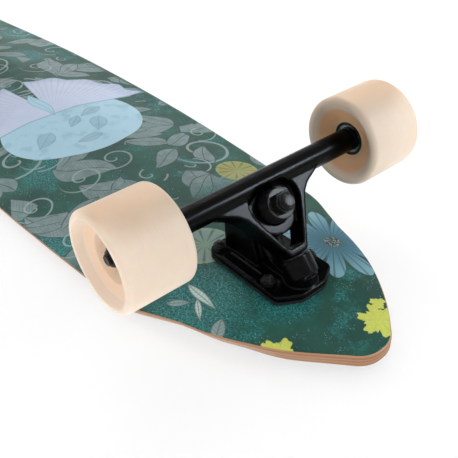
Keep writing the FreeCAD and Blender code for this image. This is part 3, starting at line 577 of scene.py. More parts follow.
def addMiddle(paint, color, spot, x, y):
    # the pale disc with its leaves, and the pair of ribbed fans over it
    tones, plan = printTones, printPlan
    disc = Ground(paint, x, y, plan["disc"])
    shadow = paint.step(paint.noise(spot, 0.05, 3, 0.5), 0.52, 0.64) * 0.35
    discColor = paint.blend(shadow, tones["disc"], tones["discShade"])
    for leaf in plan["discLeaves"]:
        discColor = addLeaf(paint, discColor, x, y, leaf, tones["discShade"], tones["leafDark"], 0.45)
    color = paint.blend(paint.step(disc.reach, *plan["discRim"]) * 0.94, color, discColor)

    fan = Ground(paint, x, y, plan["fans"], 180)
    lean = abs(fan.angle)
    spread = paint.step(lean, *plan["fanSpread"]) * paint.step(lean, *plan["fanGap"])
    reach = plan["fanReach"] + paint.sine(lean * plan["fanWaves"]) * 3.5 + lean * 6
    lobe = paint.step(reach - fan.reach, -0.4, 0.4) * spread
    ribs = paint.step(paint.sine(lean * plan["fanRibs"]), 0.55, 1.0)
    shade = paint.noise(spot, 0.06, 4, 0.6) * 0.5 + ribs * 0.3 + paint.step(fan.reach, 86, 100) * 0.35
    color = paint.blend(lobe * 0.96, color, paint.blend(shade, tones["fan"], tones["fanVein"]))
    hem = paint.step(abs(reach - fan.reach), 1.4, 0.6) * spread
    color = paint.blend(hem * 0.6, color, tones["discShade"])
    spine = paint.step(abs(x - plan["fans"][0]), 1.6, 1.0) * paint.step(abs(y + 8), 92, 88)
    color = paint.blend(spine * 0.7, color, tones["discShade"])
    return addLeaf(paint, color, x, y, plan["spineLeaf"], tones["disc"], tones["discShade"])


def addFlower(paint, color, spot, x, y):
    tones, plan = printTones, printPlan
    flower = Ground(paint, x, y, plan["flower"], plan["flowerTurn"])
    petals, size = plan["petals"], plan["flowerSize"]
    lobe = abs(paint.math("COSINE", flower.angle * (petals / 2)))
    edge = (paint.math("POWER", lobe, 0.55) * 0.72 + 0.28) * size
    veins = paint.step(paint.sine(flower.angle * petals * 3), 0.6, 1.0)
    out = flower.reach / size
    petal = paint.blend(paint.step(out, 0.2, 1.0), tones["petal"], tones["petalTip"])
    petal = paint.blend(veins * 0.6, petal, tones["ink"])
    petal = paint.blend(paint.step(out, 0.3, 0.1) * 0.6, petal, tones["leafDark"])
    color = paint.blend(paint.step(edge - flower.reach, -0.3, 0.4) * 0.9, color, petal)
    seeds = paint.step(paint.cells(spot, 0.7), 0.3, 0.5)
    heart = paint.step(flower.reach, 7.5, 6.5)
    return paint.blend(heart, color, paint.blend(seeds, tones["leafPale"], tones["ink"]))


def addSlices(paint, color, x, y):
    tones = printTones
    for centre, size, tone, spokeTone in printPlan["slices"]:
        ground = Ground(paint, x, y, centre)
        spokes = paint.step(paint.sine(ground.angle * printPlan["spokes"]), 0.55, 0.95)
        spokes = spokes * paint.step(ground.reach, 2, 5)
        tint = paint.blend(spokes * 0.7, tones[tone], tones[spokeTone])
        tint = paint.blend(paint.step(ground.reach, size, 0) * 0.35, tint, tones["lime"])
        color = paint.blend(paint.step(ground.reach, size + 0.4, size - 0.4) * 0.72, color, tint)
        rim = paint.step(abs(ground.reach - size * 0.92), 1.3, 0.7)
        color = paint.blend(rim * 0.6, color, tones["lime"])
    return color


def addScraps(paint, color, spot, x, y, fine):
    tones = printTones
    for centre, size, lobes, turn in printPlan["scraps"]:
        scrap = Ground(paint, x, y, centre, turn)
        ragged = paint.sine(scrap.angle * lobes) * 0.16 + paint.sine(scrap.angle * (lobes * 3)) * 0.07
        edge = (0.84 + ragged + (paint.noise(spot, 0.2, 3, 0.6) - 0.5) * 0.5) * size
        lines = paint.step(abs(paint.sine(scrap.angle * lobes / 2)), 0.12, 0.03)
        tint = paint.blend(lines * 0.6, tones["yellow"], tones["lime"])
        tint = paint.blend(paint.step(fine, 0.5, 0.66) * 0.3, tint, tones["cream"])
        color = paint.blend(paint.step(edge - scrap.reach, -0.3, 0.4) * 0.95, color, tint)
    return color


def makePrint():
    paint = Paint("print")
    tones, plan = printTones, printPlan
    spot = paint.place((1000, 1000, 0))
    x, y, _ = paint.split(spot)
    end = paint.math("SIGN", x)
    farX, farY = x * end, y * end
    fine = paint.noise(spot, 0.55, 4, 0.7)

    color = addGround(paint, spot, farX, farY, fine)
    drawn = color
    for size, shift, density in plan["fields"]:
        drawn = leafField(paint, drawn, size, shift, density)
    inland = paint.step(farX, *plan["fieldEnd"]) * paint.step(abs(y), *plan["fieldSide"])
    color = addMiddle(paint, paint.blend(inland, color, drawn), spot, x, y)
    color = addFlower(paint, color, spot, farX, farY)
    color = addSlices(paint, color, farX, farY)
    color = addScraps(paint, color, spot, farX, farY, fine)
    for *leaf, tone in plan["sprays"]:
        color = addLeaf(paint, color, farX, farY, leaf, tones[tone], tones["leafDark"], 0.8)

    # wear along the rim and light scratches in the lacquer
    _, fromRim, _ = paint.plyPlace()
    worn = paint.step(fromRim, 1.0, 0.2) * paint.step(paint.noise(spot, 0.12, 4, 0.6), 0.55, 0.65)
    color = paint.blend(worn * 0.5, color, tones["worn"])
    scratch = paint.place((40, 1400, 0), (0, 0, 0.5))
    lines = paint.step(paint.noise(scratch, 1.0, 2, 0.5), 0.66, 0.72)
    rough = 0.36 + paint.noise(spot, 0.05, 4, 0.6) * 0.12 + lines * 0.08
    normal = paint.bump(lines * -0.3 + fine * 0.15, 0.0001, 0.4)
    return paint.surface(color=color, rough=rough, normal=normal, specular=0.2)


woodLook = {
    "ply": srgb(192, 146, 110), "plyDark": srgb(150, 102, 70), "glue": srgb(92, 58, 38), "plyThickness": 1.37,
}


def makeWood():
    # the seven plies seen on their edges
    paint = Paint("wood")
    run, _, height = paint.plyPlace()
    layer = height / woodLook["plyThickness"]
    number = paint.math("FLOOR", layer)
    inLayer = paint.math("FRACT", layer)
    glue = paint.step(abs(inLayer - 0.5), 0.42, 0.49)
    crossed = paint.math("FLOORED_MODULO", number, 2.0)
    grain = paint.noise(paint.join(run * 0.03, height * 3.0, number * 7), 1.0, 5, 0.65)
    pores = paint.noise(paint.join(run * 0.9, height * 2.4, number * 3), 1.0, 4, 0.7)
    tone = grain * 0.7 + crossed * 0.22 + pores * 0.2
    color = paint.blend(paint.step(tone, 0.25, 0.95), woodLook["ply"], woodLook["plyDark"])
    color = paint.blend(glue * 0.55, color, woodLook["glue"])
    flat = paint.noise(paint.place((14, 260, 40)), 1.0, 6, 0.6, 0.4)
    rough = 0.46 + grain * 0.18
    normal = paint.bump(glue * -0.5 + pores * 0.4 + flat * 0.3, 0.00015, 0.5)
    return paint.surface(color=color, rough=rough, normal=normal, specular=0.35)


gripLook = {
    "dark": srgb(24, 24, 25), "light": srgb(58, 58, 60), "tread": srgb(104, 100, 94), "grainsPerMetre": 1900,
}


def makeGrip():
    paint = Paint("grip")
    spot = paint.place()
    grains = paint.cells(spot, gripLook["grainsPerMetre"])
    dust = paint.noise(spot, 9, 5, 0.6)
    tone = paint.step(grains, 0.55, 0.05) * 0.5 + dust * 0.5
    color = paint.blend(tone, gripLook["dark"], gripLook["light"])
    tread = paint.step(paint.noise(spot, 14, 4, 0.6), 0.6, 0.75)
    color = paint.blend(tread * 0.2, color, gripLook["tread"])
    normal = paint.bump(1 - grains, 0.0003, 0.9)
    return paint.surface(color=color, rough=0.72 + dust * 0.2, normal=normal, specular=0.3)


paintLook = {"black": srgb(5, 5, 6), "worn": srgb(24, 24, 26), "rough": 0.16}


def makeBlackPaint():
    # satin coat on a casting: a slight orange peel, dust in patches, worn on the ridges
    paint = Paint("blackPaint")
    spot = paint.place()
    peel = paint.noise(spot, 900, 3, 0.5)
    cloud = paint.noise(spot, 45, 5, 0.6)
    ridge = paint.out(paint.node("ShaderNodeNewGeometry"), "Pointiness")
    wear = paint.step(ridge, 0.53, 0.6) * paint.step(cloud, 0.45, 0.7)
    color = paint.blend(wear * 0.5, paintLook["black"], paintLook["worn"])
    color = paint.blend(paint.step(cloud, 0.6, 0.8) * 0.15, color, paintLook["worn"])
    rough = paintLook["rough"] + cloud * 0.12 + wear * 0.15
    return paint.surface(color=color, rough=rough, normal=paint.bump(peel, 0.00004, 0.35), specular=0.07)


def makeSteel(name, tone, deep, roughness, metal):
    # turned and plated steel: fine lathe lines, stains and small nicks
    paint = Paint(name)
    spot = paint.place()
    stain = paint.noise(spot, 120, 5, 0.6)
    lines = paint.noise(paint.place((200, 5000, 200)), 1.0, 3, 0.5)
    nick = paint.step(paint.noise(spot, 420, 3, 0.6), 0.68, 0.78)
    color = paint.blend(paint.step(stain, 0.35, 0.8), tone, deep)
    rough = roughness + stain * 0.15 + nick * 0.2
    normal = paint.bump(lines * 0.5 - nick, 0.00005, 0.35)
    return paint.surface(color=color, rough=rough, metal=metal, normal=normal, specular=0.3)


def makeRubber(name, tone, light, roughness):
    paint = Paint(name)
    spot = paint.place()
    skinNoise = paint.noise(spot, 1600, 4, 0.6)
    bloom = paint.noise(spot, 70, 5, 0.65)
    color = paint.blend(paint.step(bloom, 0.4, 0.85), tone, light)
    rough = roughness + bloom * 0.15
    return paint.surface(color=color, rough=rough, normal=paint.bump(skinNoise, 0.00008, 0.6), specular=0.35)


wheelLook = {
    # the recess tint is painted shade and warm bounce light in the wheel's recesses; its rim and depth pairs say where
    # it fades out, in metres
    "cream": srgb(246, 228, 209), "deep": srgb(242, 220, 198), "scuff": srgb(230, 212, 193),
    "paintedRecessShade": srgb(252, 190, 136), "speck": srgb(150, 128, 108), "paintedShadeRim": (0.0275, 0.0235),
    "paintedShadeDepth": (0.106, 0.0965), "soft": 0.3, "softScale": 0.005, "softRadius": (1.0, 0.6, 0.35),
}


def makeUrethane():
    # cream, a little translucent; rolling marks round the tread and specks of dirt; painted shade and warm bounce light
    # in the recesses
    paint = Paint("urethane")
    spot = paint.place()
    cloud = paint.noise(spot, 30, 5, 0.6)
    grain = paint.noise(spot, 1500, 4, 0.6)
    color = paint.blend(paint.step(cloud, 0.3, 0.85), wheelLook["cream"], wheelLook["deep"])
    x, y, z = paint.split(spot)
    fromAxleX = abs(x) - truckPlan["axleX"] * mm
    fromAxleZ = z - truckPlan["axleZ"] * mm
    # painted shade and warm bounce light in the recess: all round the hub, stronger on the inboard side
    paintedRecessShade = paint.step(paint.length(fromAxleX, fromAxleZ), *wheelLook["paintedShadeRim"])
    inner = paint.step(abs(y), *wheelLook["paintedShadeDepth"])
    color = paint.blend(paintedRecessShade * (0.35 + inner * 0.5), color, wheelLook["paintedRecessShade"])
    rub = paint.noise(paint.place((60, 900, 60)), 1.0, 4, 0.6)
    color = paint.blend(paint.step(rub, 0.58, 0.75) * 0.4, color, wheelLook["scuff"])
    specks = paint.step(paint.noise(spot, 700, 2, 0.5), 0.74, 0.78)
    color = paint.blend(specks * 0.35, color, wheelLook["speck"])
    rough = 0.42 + cloud * 0.14 + rub * 0.06
    normal = paint.bump(grain + rub * 0.6, 0.00006, 0.6)
    soft = {key: wheelLook[key] for key in ("soft", "softScale", "softRadius")}
    return paint.surface(color=color, rough=rough, normal=normal, specular=0.35, **soft)


printPaint = makePrint()
wood = makeWood()
grip = makeGrip()
blackPaint = makeBlackPaint()
blackSteel = makeSteel("blackSteel", srgb(16, 16, 17), srgb(34, 33, 34), 0.28, 0.25)
brightSteel = makeSteel("brightSteel", srgb(196, 196, 200), srgb(150, 148, 148), 0.2, 1.0)
blackRubber = makeRubber("blackRubber", srgb(22, 22, 23), srgb(48, 47, 46), 0.6)
bushingUrethane = makeRubber("bushingUrethane", srgb(24, 24, 27), srgb(40, 40, 44), 0.36)
corePlastic = makeRubber("corePlastic", srgb(17, 17, 18), srgb(38, 37, 37), 0.45)
nylon = makeRubber("nylon", srgb(58, 62, 70), srgb(84, 88, 96), 0.4)
urethane = makeUrethane()
print("materials ready")


deckPlan = {
    # corners of a quarter of the outline: place along, half width, radius
    "corners": ((130, 120, 2715), (348, 102.5, 80), (392, 83.2, 60), (453, 64, 215), (505, 10.8, 24)),
    "thickness": 9.6, "roundBelow": 2.2, "roundAbove": 1.2,
    # how far the edge leans in on its way up, by the distance from the middle
    "edgeLean": ((0, 4.6), (350, 5.0), (400, 6.0), (430, 4.6), (470, 1.2), (505, 0.0)),
    "flatHalf": 30.0, "dishHalf": 100.0, "dishRise": 11.5, "dishRound": 80.0,
    "kickStart": 441.0, "kickRound": 120.0, "kickAngle": 5.0,
    # points along a quarter of the outline and rings inside it; the rings shrink to a spine of this half length
    "quarterSteps": 190, "innerRings": 24, "roundSteps": 6, "spine": 440, "inwardDepth": 60,
    "gripInset": 1.5, "gripThickness": 0.9, "gripSunk": 0.05, "gripRound": (0.02, 0.3),
    "boltX": (-24.59, 29.39), "boltY": 20.64, "boltRadius": 2.55, "sinkRadius": 4.75, "sinkDepth": 2.7,
}


def bentRise(along, bends):
    # height of a path that starts level and turns by each bend: (place, radius, slope after)
    height = 0.0
    slope = 0.0
    for where, radius, after in bends:
        turn = math.atan(after) - math.atan(slope)
        reach = radius * math.tan(abs(turn) / 2)
        if along > where + reach:
            height += (along - where) * (after - slope)
        elif along > where - reach:
            part = along - (where - reach)
            height += part * part / (4 * reach) * (after - slope)
        slope = after
    return height


def deckRise(x, y):
    plan = deckPlan
    slope = plan["dishRise"] / (plan["dishHalf"] - plan["flatHalf"])
    dish = bentRise(abs(y), ((plan["flatHalf"], plan["dishRound"], slope), (plan["dishHalf"], plan["dishRound"], 0)))
    kick = bentRise(abs(x), ((plan["kickStart"], plan["kickRound"], math.tan(math.radians(plan["kickAngle"]))),))
    return dish + kick


def edgeLean(x):
    stops = deckPlan["edgeLean"]
    for (near, lean), (far, nextLean) in zip(stops, stops[1:]):
        if abs(x) <= far:
            share = (abs(x) - near) / (far - near)
            return lean + (nextLean - lean) * share * share * (3 - 2 * share)
    return stops[-1][1]


def pathLengths(points):
    lengths = [0.0]
    for before, after in zip(points, points[1:]):
        lengths.append(lengths[-1] + (after - before).length)
    return lengths


def quarterOutline():
    # evenly spaced points from the middle of a side to the tip
    corners = list(deckPlan["corners"])
    mirrored = [(x, -y, radius) for x, y, radius in reversed(corners)]
    wide = corners[0][1]
    path = roundCorners([(0, wide), *corners, *mirrored, (0, -wide)], 1.5, False)
    half = [point for point in path if point.y > -1e-6]
    lengths = pathLengths(half)
    steps = deckPlan["quarterSteps"]
    points = []
    index = 0
    for step in range(steps + 1):
        want = lengths[-1] * step / steps
        while index < len(half) - 2 and lengths[index + 1] < want:
            index += 1
        share = (want - lengths[index]) / (lengths[index + 1] - lengths[index])
        points.append(half[index].lerp(half[index + 1], share))
    points[0].x = 0
    points[-1].y = 0
    return points


def deckOutline():
    quarter = quarterOutline()
    across = [Vector((point.x, -point.y)) for point in reversed(quarter[:-1])]
    half = quarter + across
    back = [Vector((-point.x, point.y)) for point in reversed(half[1:-1])]
    outline = half + back
    count = len(outline)
    inward = []
    for index in range(count):
        along = outline[(index + 1) % count] - outline[index - 1]
        inward.append(Vector((along.y, -along.x)).normalized())
    return outline, inward


def sheetMesh(name, inset, low, high, roundBelow, roundAbove, paints):
    # a closed sheet of the deck between two heights; paints are (below, edge, above)
    outline, inward = deckOutline()
    steps = deckPlan["roundSteps"]
    turns = [math.pi / 2 * step / steps for step in range(steps + 1)]
    # the edge from below to above, as (depth from the rim, height)
    profile = [(roundBelow * (1 - math.sin(turn)), low + roundBelow * (1 - math.cos(turn))) for turn in turns]
    straight = high - roundAbove - profile[-1][1]
    profile += [(0, profile[-1][1] + straight * step / 4) for step in range(1, 4)]
    profile += [(roundAbove * (1 - math.cos(turn)), high - roundAbove * (1 - math.sin(turn))) for turn in turns]
    runs = pathLengths(outline)

    def edgePoint(index, depth, height):
        lean = edgeLean(outline[index].x) * height / deckPlan["thickness"]
        return outline[index] + inward[index] * (inset + depth + lean)

    rings, places = [], []

    def addRing(points, height, depth):
        under = truckPlan["deckUnderside"]
        rings.append([(point.x * mm, point.y * mm, (under + deckRise(point.x, point.y) + height) * mm)
                      for point in points])
        places.append([(run, depth, height) for run in runs])

    def addFlat(depth, height, shares):
        for share in shares:
            points = []
            for index in range(len(outline)):
                point = edgePoint(index, depth, height)
                centre = Vector((max(-deckPlan["spine"], min(deckPlan["spine"], point.x)), 0))
                points.append(point.lerp(centre, share))
            addRing(points, height, depth + deckPlan["inwardDepth"] * share)

    count = deckPlan["innerRings"]
    shares = [step / count for step in range(1, count + 1)]
    addFlat(profile[0][0], profile[0][1], reversed(shares))
    flatBelow = len(rings)
    for depth, height in profile:
        addRing([edgePoint(index, depth, height) for index in range(len(outline))], height, depth)
    edgeEnd = len(rings)
    addFlat(profile[-1][0], profile[-1][1], shares)

    built = bmesh.new()
    layer = built.verts.layers.float_vector.new("plyPlace")
    made = skin(built, rings, False)
    for verts, spots in zip(made, places):
        for vert, spot in zip(verts, spots):
            vert[layer] = spot
    size = len(outline)
    built.faces.ensure_lookup_table()
    for index, face in enumerate(built.faces):
        ring = index // size
        face.material_index = 0 if ring < flatBelow + 2 else (1 if ring < edgeEnd - 1 else 2)
    bmesh.ops.remove_doubles(built, verts=built.verts, dist=1e-6)
    return withMaterial(finishMesh(name, built, None, 50), *paints)


def boltPoints(end):
    # the four bolts of a truck, at the deck's underside
    return [Vector(((truckPlan["axleX"] + x) * end, y * end, truckPlan["deckUnderside"])) * mm
            for x in deckPlan["boltX"] for y in (-deckPlan["boltY"], deckPlan["boltY"])]


def boltCutters():
    # plugs with sunk heads at the eight bolts
    plan = deckPlan
    top = truckPlan["deckUnderside"] + plan["thickness"] + plan["gripThickness"]
    outline = ((plan["boltRadius"], top - 30), (plan["boltRadius"], top - plan["sinkDepth"]),
               (plan["sinkRadius"], top), (plan["sinkRadius"], top + 3))
    built = bmesh.new()
    for _, end in ends:
        for point in boltPoints(end):
            rings = [[(x + point.x, y + point.y, z) for x, y, z in circleRing(40, *ring)] for ring in outline]
            made = skin(built, rings, False)
            built.faces.new(list(reversed(made[0])))
            built.faces.new(made[-1])
    return finishMesh("boltCutters", built)


def makeDeck():
    plan = deckPlan
    top = plan["thickness"]
    cutter = looseObject("boltCutters", boltCutters())
    gripTop = top + plan["gripThickness"]
    sheets = (
        ("deck", sheetMesh("deck", 0, 0, top, plan["roundBelow"], plan["roundAbove"], (printPaint, wood, wood)),
         "printed_ply", ("deck_bottom_ply", "deck_core_plies", "deck_top_ply")),
        ("gripSheet", sheetMesh("gripSheet", plan["gripInset"], top - plan["gripSunk"], gripTop, *plan["gripRound"],
                                (grip, grip, grip)), "grip", ("grip_tape",)))
    for name, mesh, slotName, replaced in sheets:
        blank = looseObject(name, mesh)
        cut = blank.modifiers.new("holes", "BOOLEAN")
        cut.operation = "DIFFERENCE"
        cut.solver = "EXACT"
        cut.object = cutter
        addPiece(name, applied(blank, name), "board", slotName, *replaced)
    bpy.data.objects.remove(cutter)


makeDeck()
print("deck ready")


castPlan = {
    # voxel size in mm and rounds of smoothing
    "hanger": (0.75, 7), "baseplate": (0.62, 6), "strength": 0.5,
    # the raised frames on the flange's long sides: corners from the middle of the axle, and their bead
    "frameX": (-16.5, 21.0), "frameY": (16.6, 25.4), "frameRound": 3.0, "bead": 1.0, "flangeFace": 96.5,
}


def tubeAlong(built, points, radius, sides=10):
    # a closed round bead along a loop of level points
    count = len(points)
    rings = []
    for index, point in enumerate(points):
        along = (points[(index + 1) % count] - points[index - 1]).normalized()
        out = Vector((along.y, -along.x, 0))
        ring = []
        for side in range(sides):
            angle = 2 * math.pi * side / sides
            ring.append(point + out * (radius * math.cos(angle)) + Vector((0, 0, radius * math.sin(angle))))
        rings.append(ring)
    skin(built, rings, True)


def flangeFrames(end):
    plan = castPlan
    built = bmesh.new()
    low, high = plan["frameX"]
    near, far = plan["frameY"]
    corners = ((low, near), (high, near), (high, far), (low, far))
    loop = roundCorners([(*corner, plan["frameRound"]) for corner in corners], 15)
    for _, side in sides:
        points = [Vector(((truckPlan["axleX"] + point.x) * end, point.y * side, plan["flangeFace"])) * mm
                  for point in loop]
        tubeAlong(built, points, plan["bead"] * mm)
    return finishMesh("flangeFrames", built)


def castMesh(name, node, extra, voxel, rounds):
    # a casting: the exact shape with its edges and inner corners rounded over
    built = bmesh.new()
    built.from_mesh(nodes[node].data)
    bmesh.ops.remove_doubles(built, verts=built.verts, dist=1e-6)
    for mesh in extra:
        built.from_mesh(mesh)
    mesh = bpy.data.meshes.new(name)
    built.to_mesh(mesh)
    built.free()
    blank = looseObject(name, mesh)
    remesh = blank.modifiers.new("remesh", "REMESH")
    remesh.mode = "VOXEL"
    remesh.voxel_size = voxel * mm
    smooth = blank.modifiers.new("smooth", "SMOOTH")
    smooth.factor = castPlan["strength"]
    smooth.iterations = rounds
    cast = applied(blank, name)
    cast.polygons.foreach_set("use_smooth", [True] * len(cast.polygons))
    return withMaterial(cast, blackPaint)


def makeCastings():
    for endName, end in ends:
        for kind, name, body, extra in (("hanger", "hangerCasting_", "truck_" + endName, []),
                                        ("baseplate", "baseCasting_", "board", [flangeFrames(end)])):
            node = "%s_%s" % (kind, endName)
            mesh = castMesh(name + endName, node, extra, *castPlan[kind])
            addPiece(name + endName, mesh, body, "black_casting", node)


makeCastings()
print("castings ready")


class Group(Paint):
    # a Geometry Nodes group with named inputs, kept by the identifiers of their sockets
    def __init__(self, name, *inputs):
        super().__init__(name, bpy.data.node_groups.new(name, "GeometryNodeTree"))
        face = self.tree.interface
        self.sockets = {label: face.new_socket(label, in_out="INPUT", socket_type="NodeSocket" + kind).identifier
                        for label, kind in (("Geometry", "Geometry"), *inputs, ("Paint", "Material"))}
        face.new_socket("Geometry", in_out="OUTPUT", socket_type="NodeSocketGeometry")
        self.entry = self.node("NodeGroupInput")

    def shape(self, kind, inputs):
        return self.out(self.node("GeometryNode" + kind, {}, inputs))

    def given(self, label):
        return self.out(self.entry, label)

    def end(self, shape):
        real = self.shape("RealizeInstances", {"Geometry": shape})
        painted = self.shape("SetMaterial", {"Geometry": real, "Material": self.given("Paint")})
        self.node("NodeGroupOutput", {}, {"Geometry": painted})

    def run(self, name, base, values):
        blank = looseObject(name, base)
        modifier = blank.modifiers.new("shape", "NODES")
        modifier.node_group = self.tree
        for label, value in values.items():
            modifier[self.sockets[label]] = value
        mesh = applied(blank, name)
        mesh.polygons.foreach_set("use_smooth", [True] * len(mesh.polygons))
        return mesh


def makeThreadGroup():
    # a ridge wound round Z, with its own radius, turns, height and depth
    group = Group("thread", *[(label, "Float") for label in ("Radius", "Turns", "Height", "Depth")])
    radius = group.given("Radius")
    winding = group.shape("CurveSpiral", {
        "Resolution": 40, "Rotations": group.given("Turns"), "Start Radius": radius, "End Radius": radius,
        "Height": group.given("Height")})
    section = group.shape("CurvePrimitiveCircle", {"Resolution": 6, "Radius": group.given("Depth")})
    group.end(group.shape("CurveToMesh", {"Curve": winding, "Profile Curve": section, "Fill Caps": True}))
    return group


def makePointGroup():
    # one piece on every point, each turned by chance about Z from a fixed seed
    group = Group("atPoints", ("Piece", "Object"), ("Seed", "Int"))
    piece = group.node("GeometryNodeObjectInfo", {}, {"Object": group.given("Piece"), "As Instance": True})
    chance = group.node("FunctionNodeRandomValue", {"data_type": "FLOAT"}, {"Seed": group.given("Seed")})
    most = next(socket for socket in chance.inputs if socket.name == "Max" and socket.type == "VALUE")
    most.default_value = fullTurn
    chosen = next(index for index, socket in enumerate(chance.outputs) if socket.type == "VALUE")
    group.end(group.shape("InstanceOnPoints", {
        "Points": group.given("Geometry"), "Instance": group.out(piece, "Geometry"),
        "Rotation": group.join(0.0, 0.0, group.out(chance, chosen))}))
    return group


threadGroup = makeThreadGroup()
pointGroup = makePointGroup()


def threadMesh(radius, start, stop, pitch, place):
    mesh = threadGroup.run("thread", bpy.data.meshes.new("threadBase"), {
        "Radius": radius * mm, "Turns": (stop - start) / pitch, "Height": (stop - start) * mm,
        "Depth": pitch * nutPlan["ridge"] * mm, "Paint": blackSteel})
    mesh.transform(place @ Matrix.Translation((0, 0, start * mm)))
    return mesh


def atPoints(name, template, points, seed, material):
    piece = looseObject("template", template)
    base = bpy.data.meshes.new(name)
    base.from_pydata(points, [], [])
    mesh = pointGroup.run(name, base, {"Piece": piece, "Seed": seed, "Paint": material})
    bpy.data.objects.remove(piece)
    mesh.set_sharp_from_angle(angle=math.radians(30))
    return mesh


nutPlan = {
    # a hexagon's ends: bevel and half width of the face as shares of the flats, and how fast the corners widen
    "bevel": 0.055, "face": 0.95, "spread": 1.9, "bevelSteps": 4,
    # a lock nut: height of the hexagon as a share, the collar's step and lip and the play of its ring
    "collar": 0.72, "step": 0.8, "lip": 1.2, "play": 0.02,
    # half thickness of a thread's ridge as a share of its pitch
    "ridge": 0.42,
}


def hexRings(flats, foot, top):
    # a hexagon whose corners are turned down at both ends
    steps = nutPlan["bevelSteps"]
    bevel = flats * nutPlan["bevel"]
    rings = [(flats / 2 * nutPlan["face"] + bevel * step / steps * 2 * nutPlan["spread"], foot + bevel * step / steps,
              flats) for step in range(steps + 1)]
    return rings + [(radius, top - (height - foot), flats) for radius, height, flats in reversed(rings)]


def lockNut(name, flats, height, bore, place):
    # the steel of a lock nut, and the nylon ring under its rolled collar
    collar = height * nutPlan["collar"]
    edge = flats / 2 - nutPlan["step"]
    lip = edge - nutPlan["lip"]
    hole = bore + nutPlan["play"]
    steel = [*hexRings(flats, 0, collar), (edge, collar), (edge, height - 0.7), (edge - 0.2, height - 0.25),
             (edge - 0.8, height), (lip, height - 0.3), (lip, height - 1.2), (bore, height - 1.2), (bore, 0)]
    ring = ((hole, height - 1.3), (lip, height - 1.3), (lip, height - 0.55), (bore + 0.3, height - 0.5),
            (hole, height - 0.8))
    return (withMaterial(ringed(name, steel, 96, place), blackSteel),
            withMaterial(ringed(name + "Ring", ring, 64, place), nylon))


def threadedEnd(core, foot, top, cut):
    # the end of a threaded rod: run-out below the thread, a turned-down edge and the flat inside it
    runOut, bevel, edge, face, dish = cut
    return [(core, foot + runOut), (core, top - bevel), (core - edge, top), (core - face, top - dish), (0, top - dish)]


stackPlan = {
    # the kingpin stack: heights in mm along the kingpin from the axle's centre line
    "pin": {"radius": 4.76, "headFoot": -43.7, "headTop": -37.7, "threadFoot": 11.0, "top": 21.9, "flats": 14.3,
            "pitch": 1.06, "threadDepth": 0.35, "cut": (0.4, 0.6, 0.7, 1.6, 0.15)},
    "nut": {"foot": 11.7, "flats": 14.3, "height": 7.6, "bore": 4.5},
    "bushing_lower": ((4.81, -19.2), (12.2, -19.2, 1.4), (12.4, -12, 12), (12.2, -4.7, 1.4), (4.81, -4.7)),
    "bushing_upper": ((4.81, -1.3), (12.2, -1.3, 1.2), (12.3, 2.6, 3), (10.2, 10.2, 1.2), (4.81, 10.2)),
    "cup_washer_lower": ((4.81, -20.7), (13.4, -20.7, 0.9), (13.4, -17.6, 0.3), (12.45, -17.6, 0.3), (12.45, -19.2),
                         (4.81, -19.2)),
    "cup_washer_upper": ((4.81, 10.2), (10.5, 10.2), (10.5, 9.4, 0.2), (11.2, 9.4, 0.2), (11.2, 11.7, 0.9),
                         (4.81, 11.7)),
}


def makeStacks():
    pin, nut = stackPlan["pin"], stackPlan["nut"]
    core = pin["radius"] - pin["threadDepth"]
    shaft = [(0, pin["headFoot"]), *hexRings(pin["flats"], pin["headFoot"], pin["headTop"]),
             (pin["radius"], pin["headTop"]), (pin["radius"], pin["threadFoot"]),
             *threadedEnd(core, pin["threadFoot"], pin["top"], pin["cut"])]
    for endName, end in ends:
        frameHere = kingpinFrame(end)
        thread = threadMesh(core + 0.05, pin["threadFoot"] + 0.5, pin["top"] - 0.7, pin["pitch"], frameHere)
        bolt = withMaterial(ringed("pin", shaft, 72, frameHere, False), blackSteel)
        addJoined("kingpinBolt_" + endName, [bolt, thread], "board", "black_steel", "kingpin_" + endName)
        foot = frameHere @ Matrix.Translation((0, 0, nut["foot"] * mm))
        parts = lockNut("kingpinLockNut", nut["flats"], nut["height"], nut["bore"], foot)
        addJoined("kingpinLockNut_" + endName, parts, "board", "black_steel", "kingpin_nut_" + endName)
        for kind, material, slotName in (("bushing_", bushingUrethane, "bushing"),
                                         ("cup_washer_", blackSteel, "black_steel")):
            for level in ("lower", "upper"):
                node = "%s%s_%s" % (kind, level, endName)
                mesh = turned("turned_" + node, stackPlan[kind + level], 96, frameHere, 30)
                addPiece("turned_" + node, withMaterial(mesh, material), body_of(nodes[node])[0], slotName, node)


boltPlan = {
    # mounting bolts and nuts: heights from the deck's underside; axle ends: distance from the middle
    "radius": 2.4, "foot": -14.4, "top": 10.48, "headRadius": 4.55, "headDepth": 2.7, "socket": 3.12,
    "pitch": 0.8, "threadDepth": 0.25, "threadTop": -6.6,
    "nutFace": -7.0, "nutFlats": 9.5, "nutHeight": 5.6, "nutBore": 2.2, "seed": 7,
    "axleRadius": 4.0, "axleHalf": 125.0, "axleThread": 115.5, "axleNutFoot": 116.0, "axleNutFlats": 13.0,
    "axleNutHeight": 7.0, "axlePitch": 1.0, "axleThreadDepth": 0.3, "axleCut": (0.3, 0.6, 0.6, 1.3, 0.2),
}


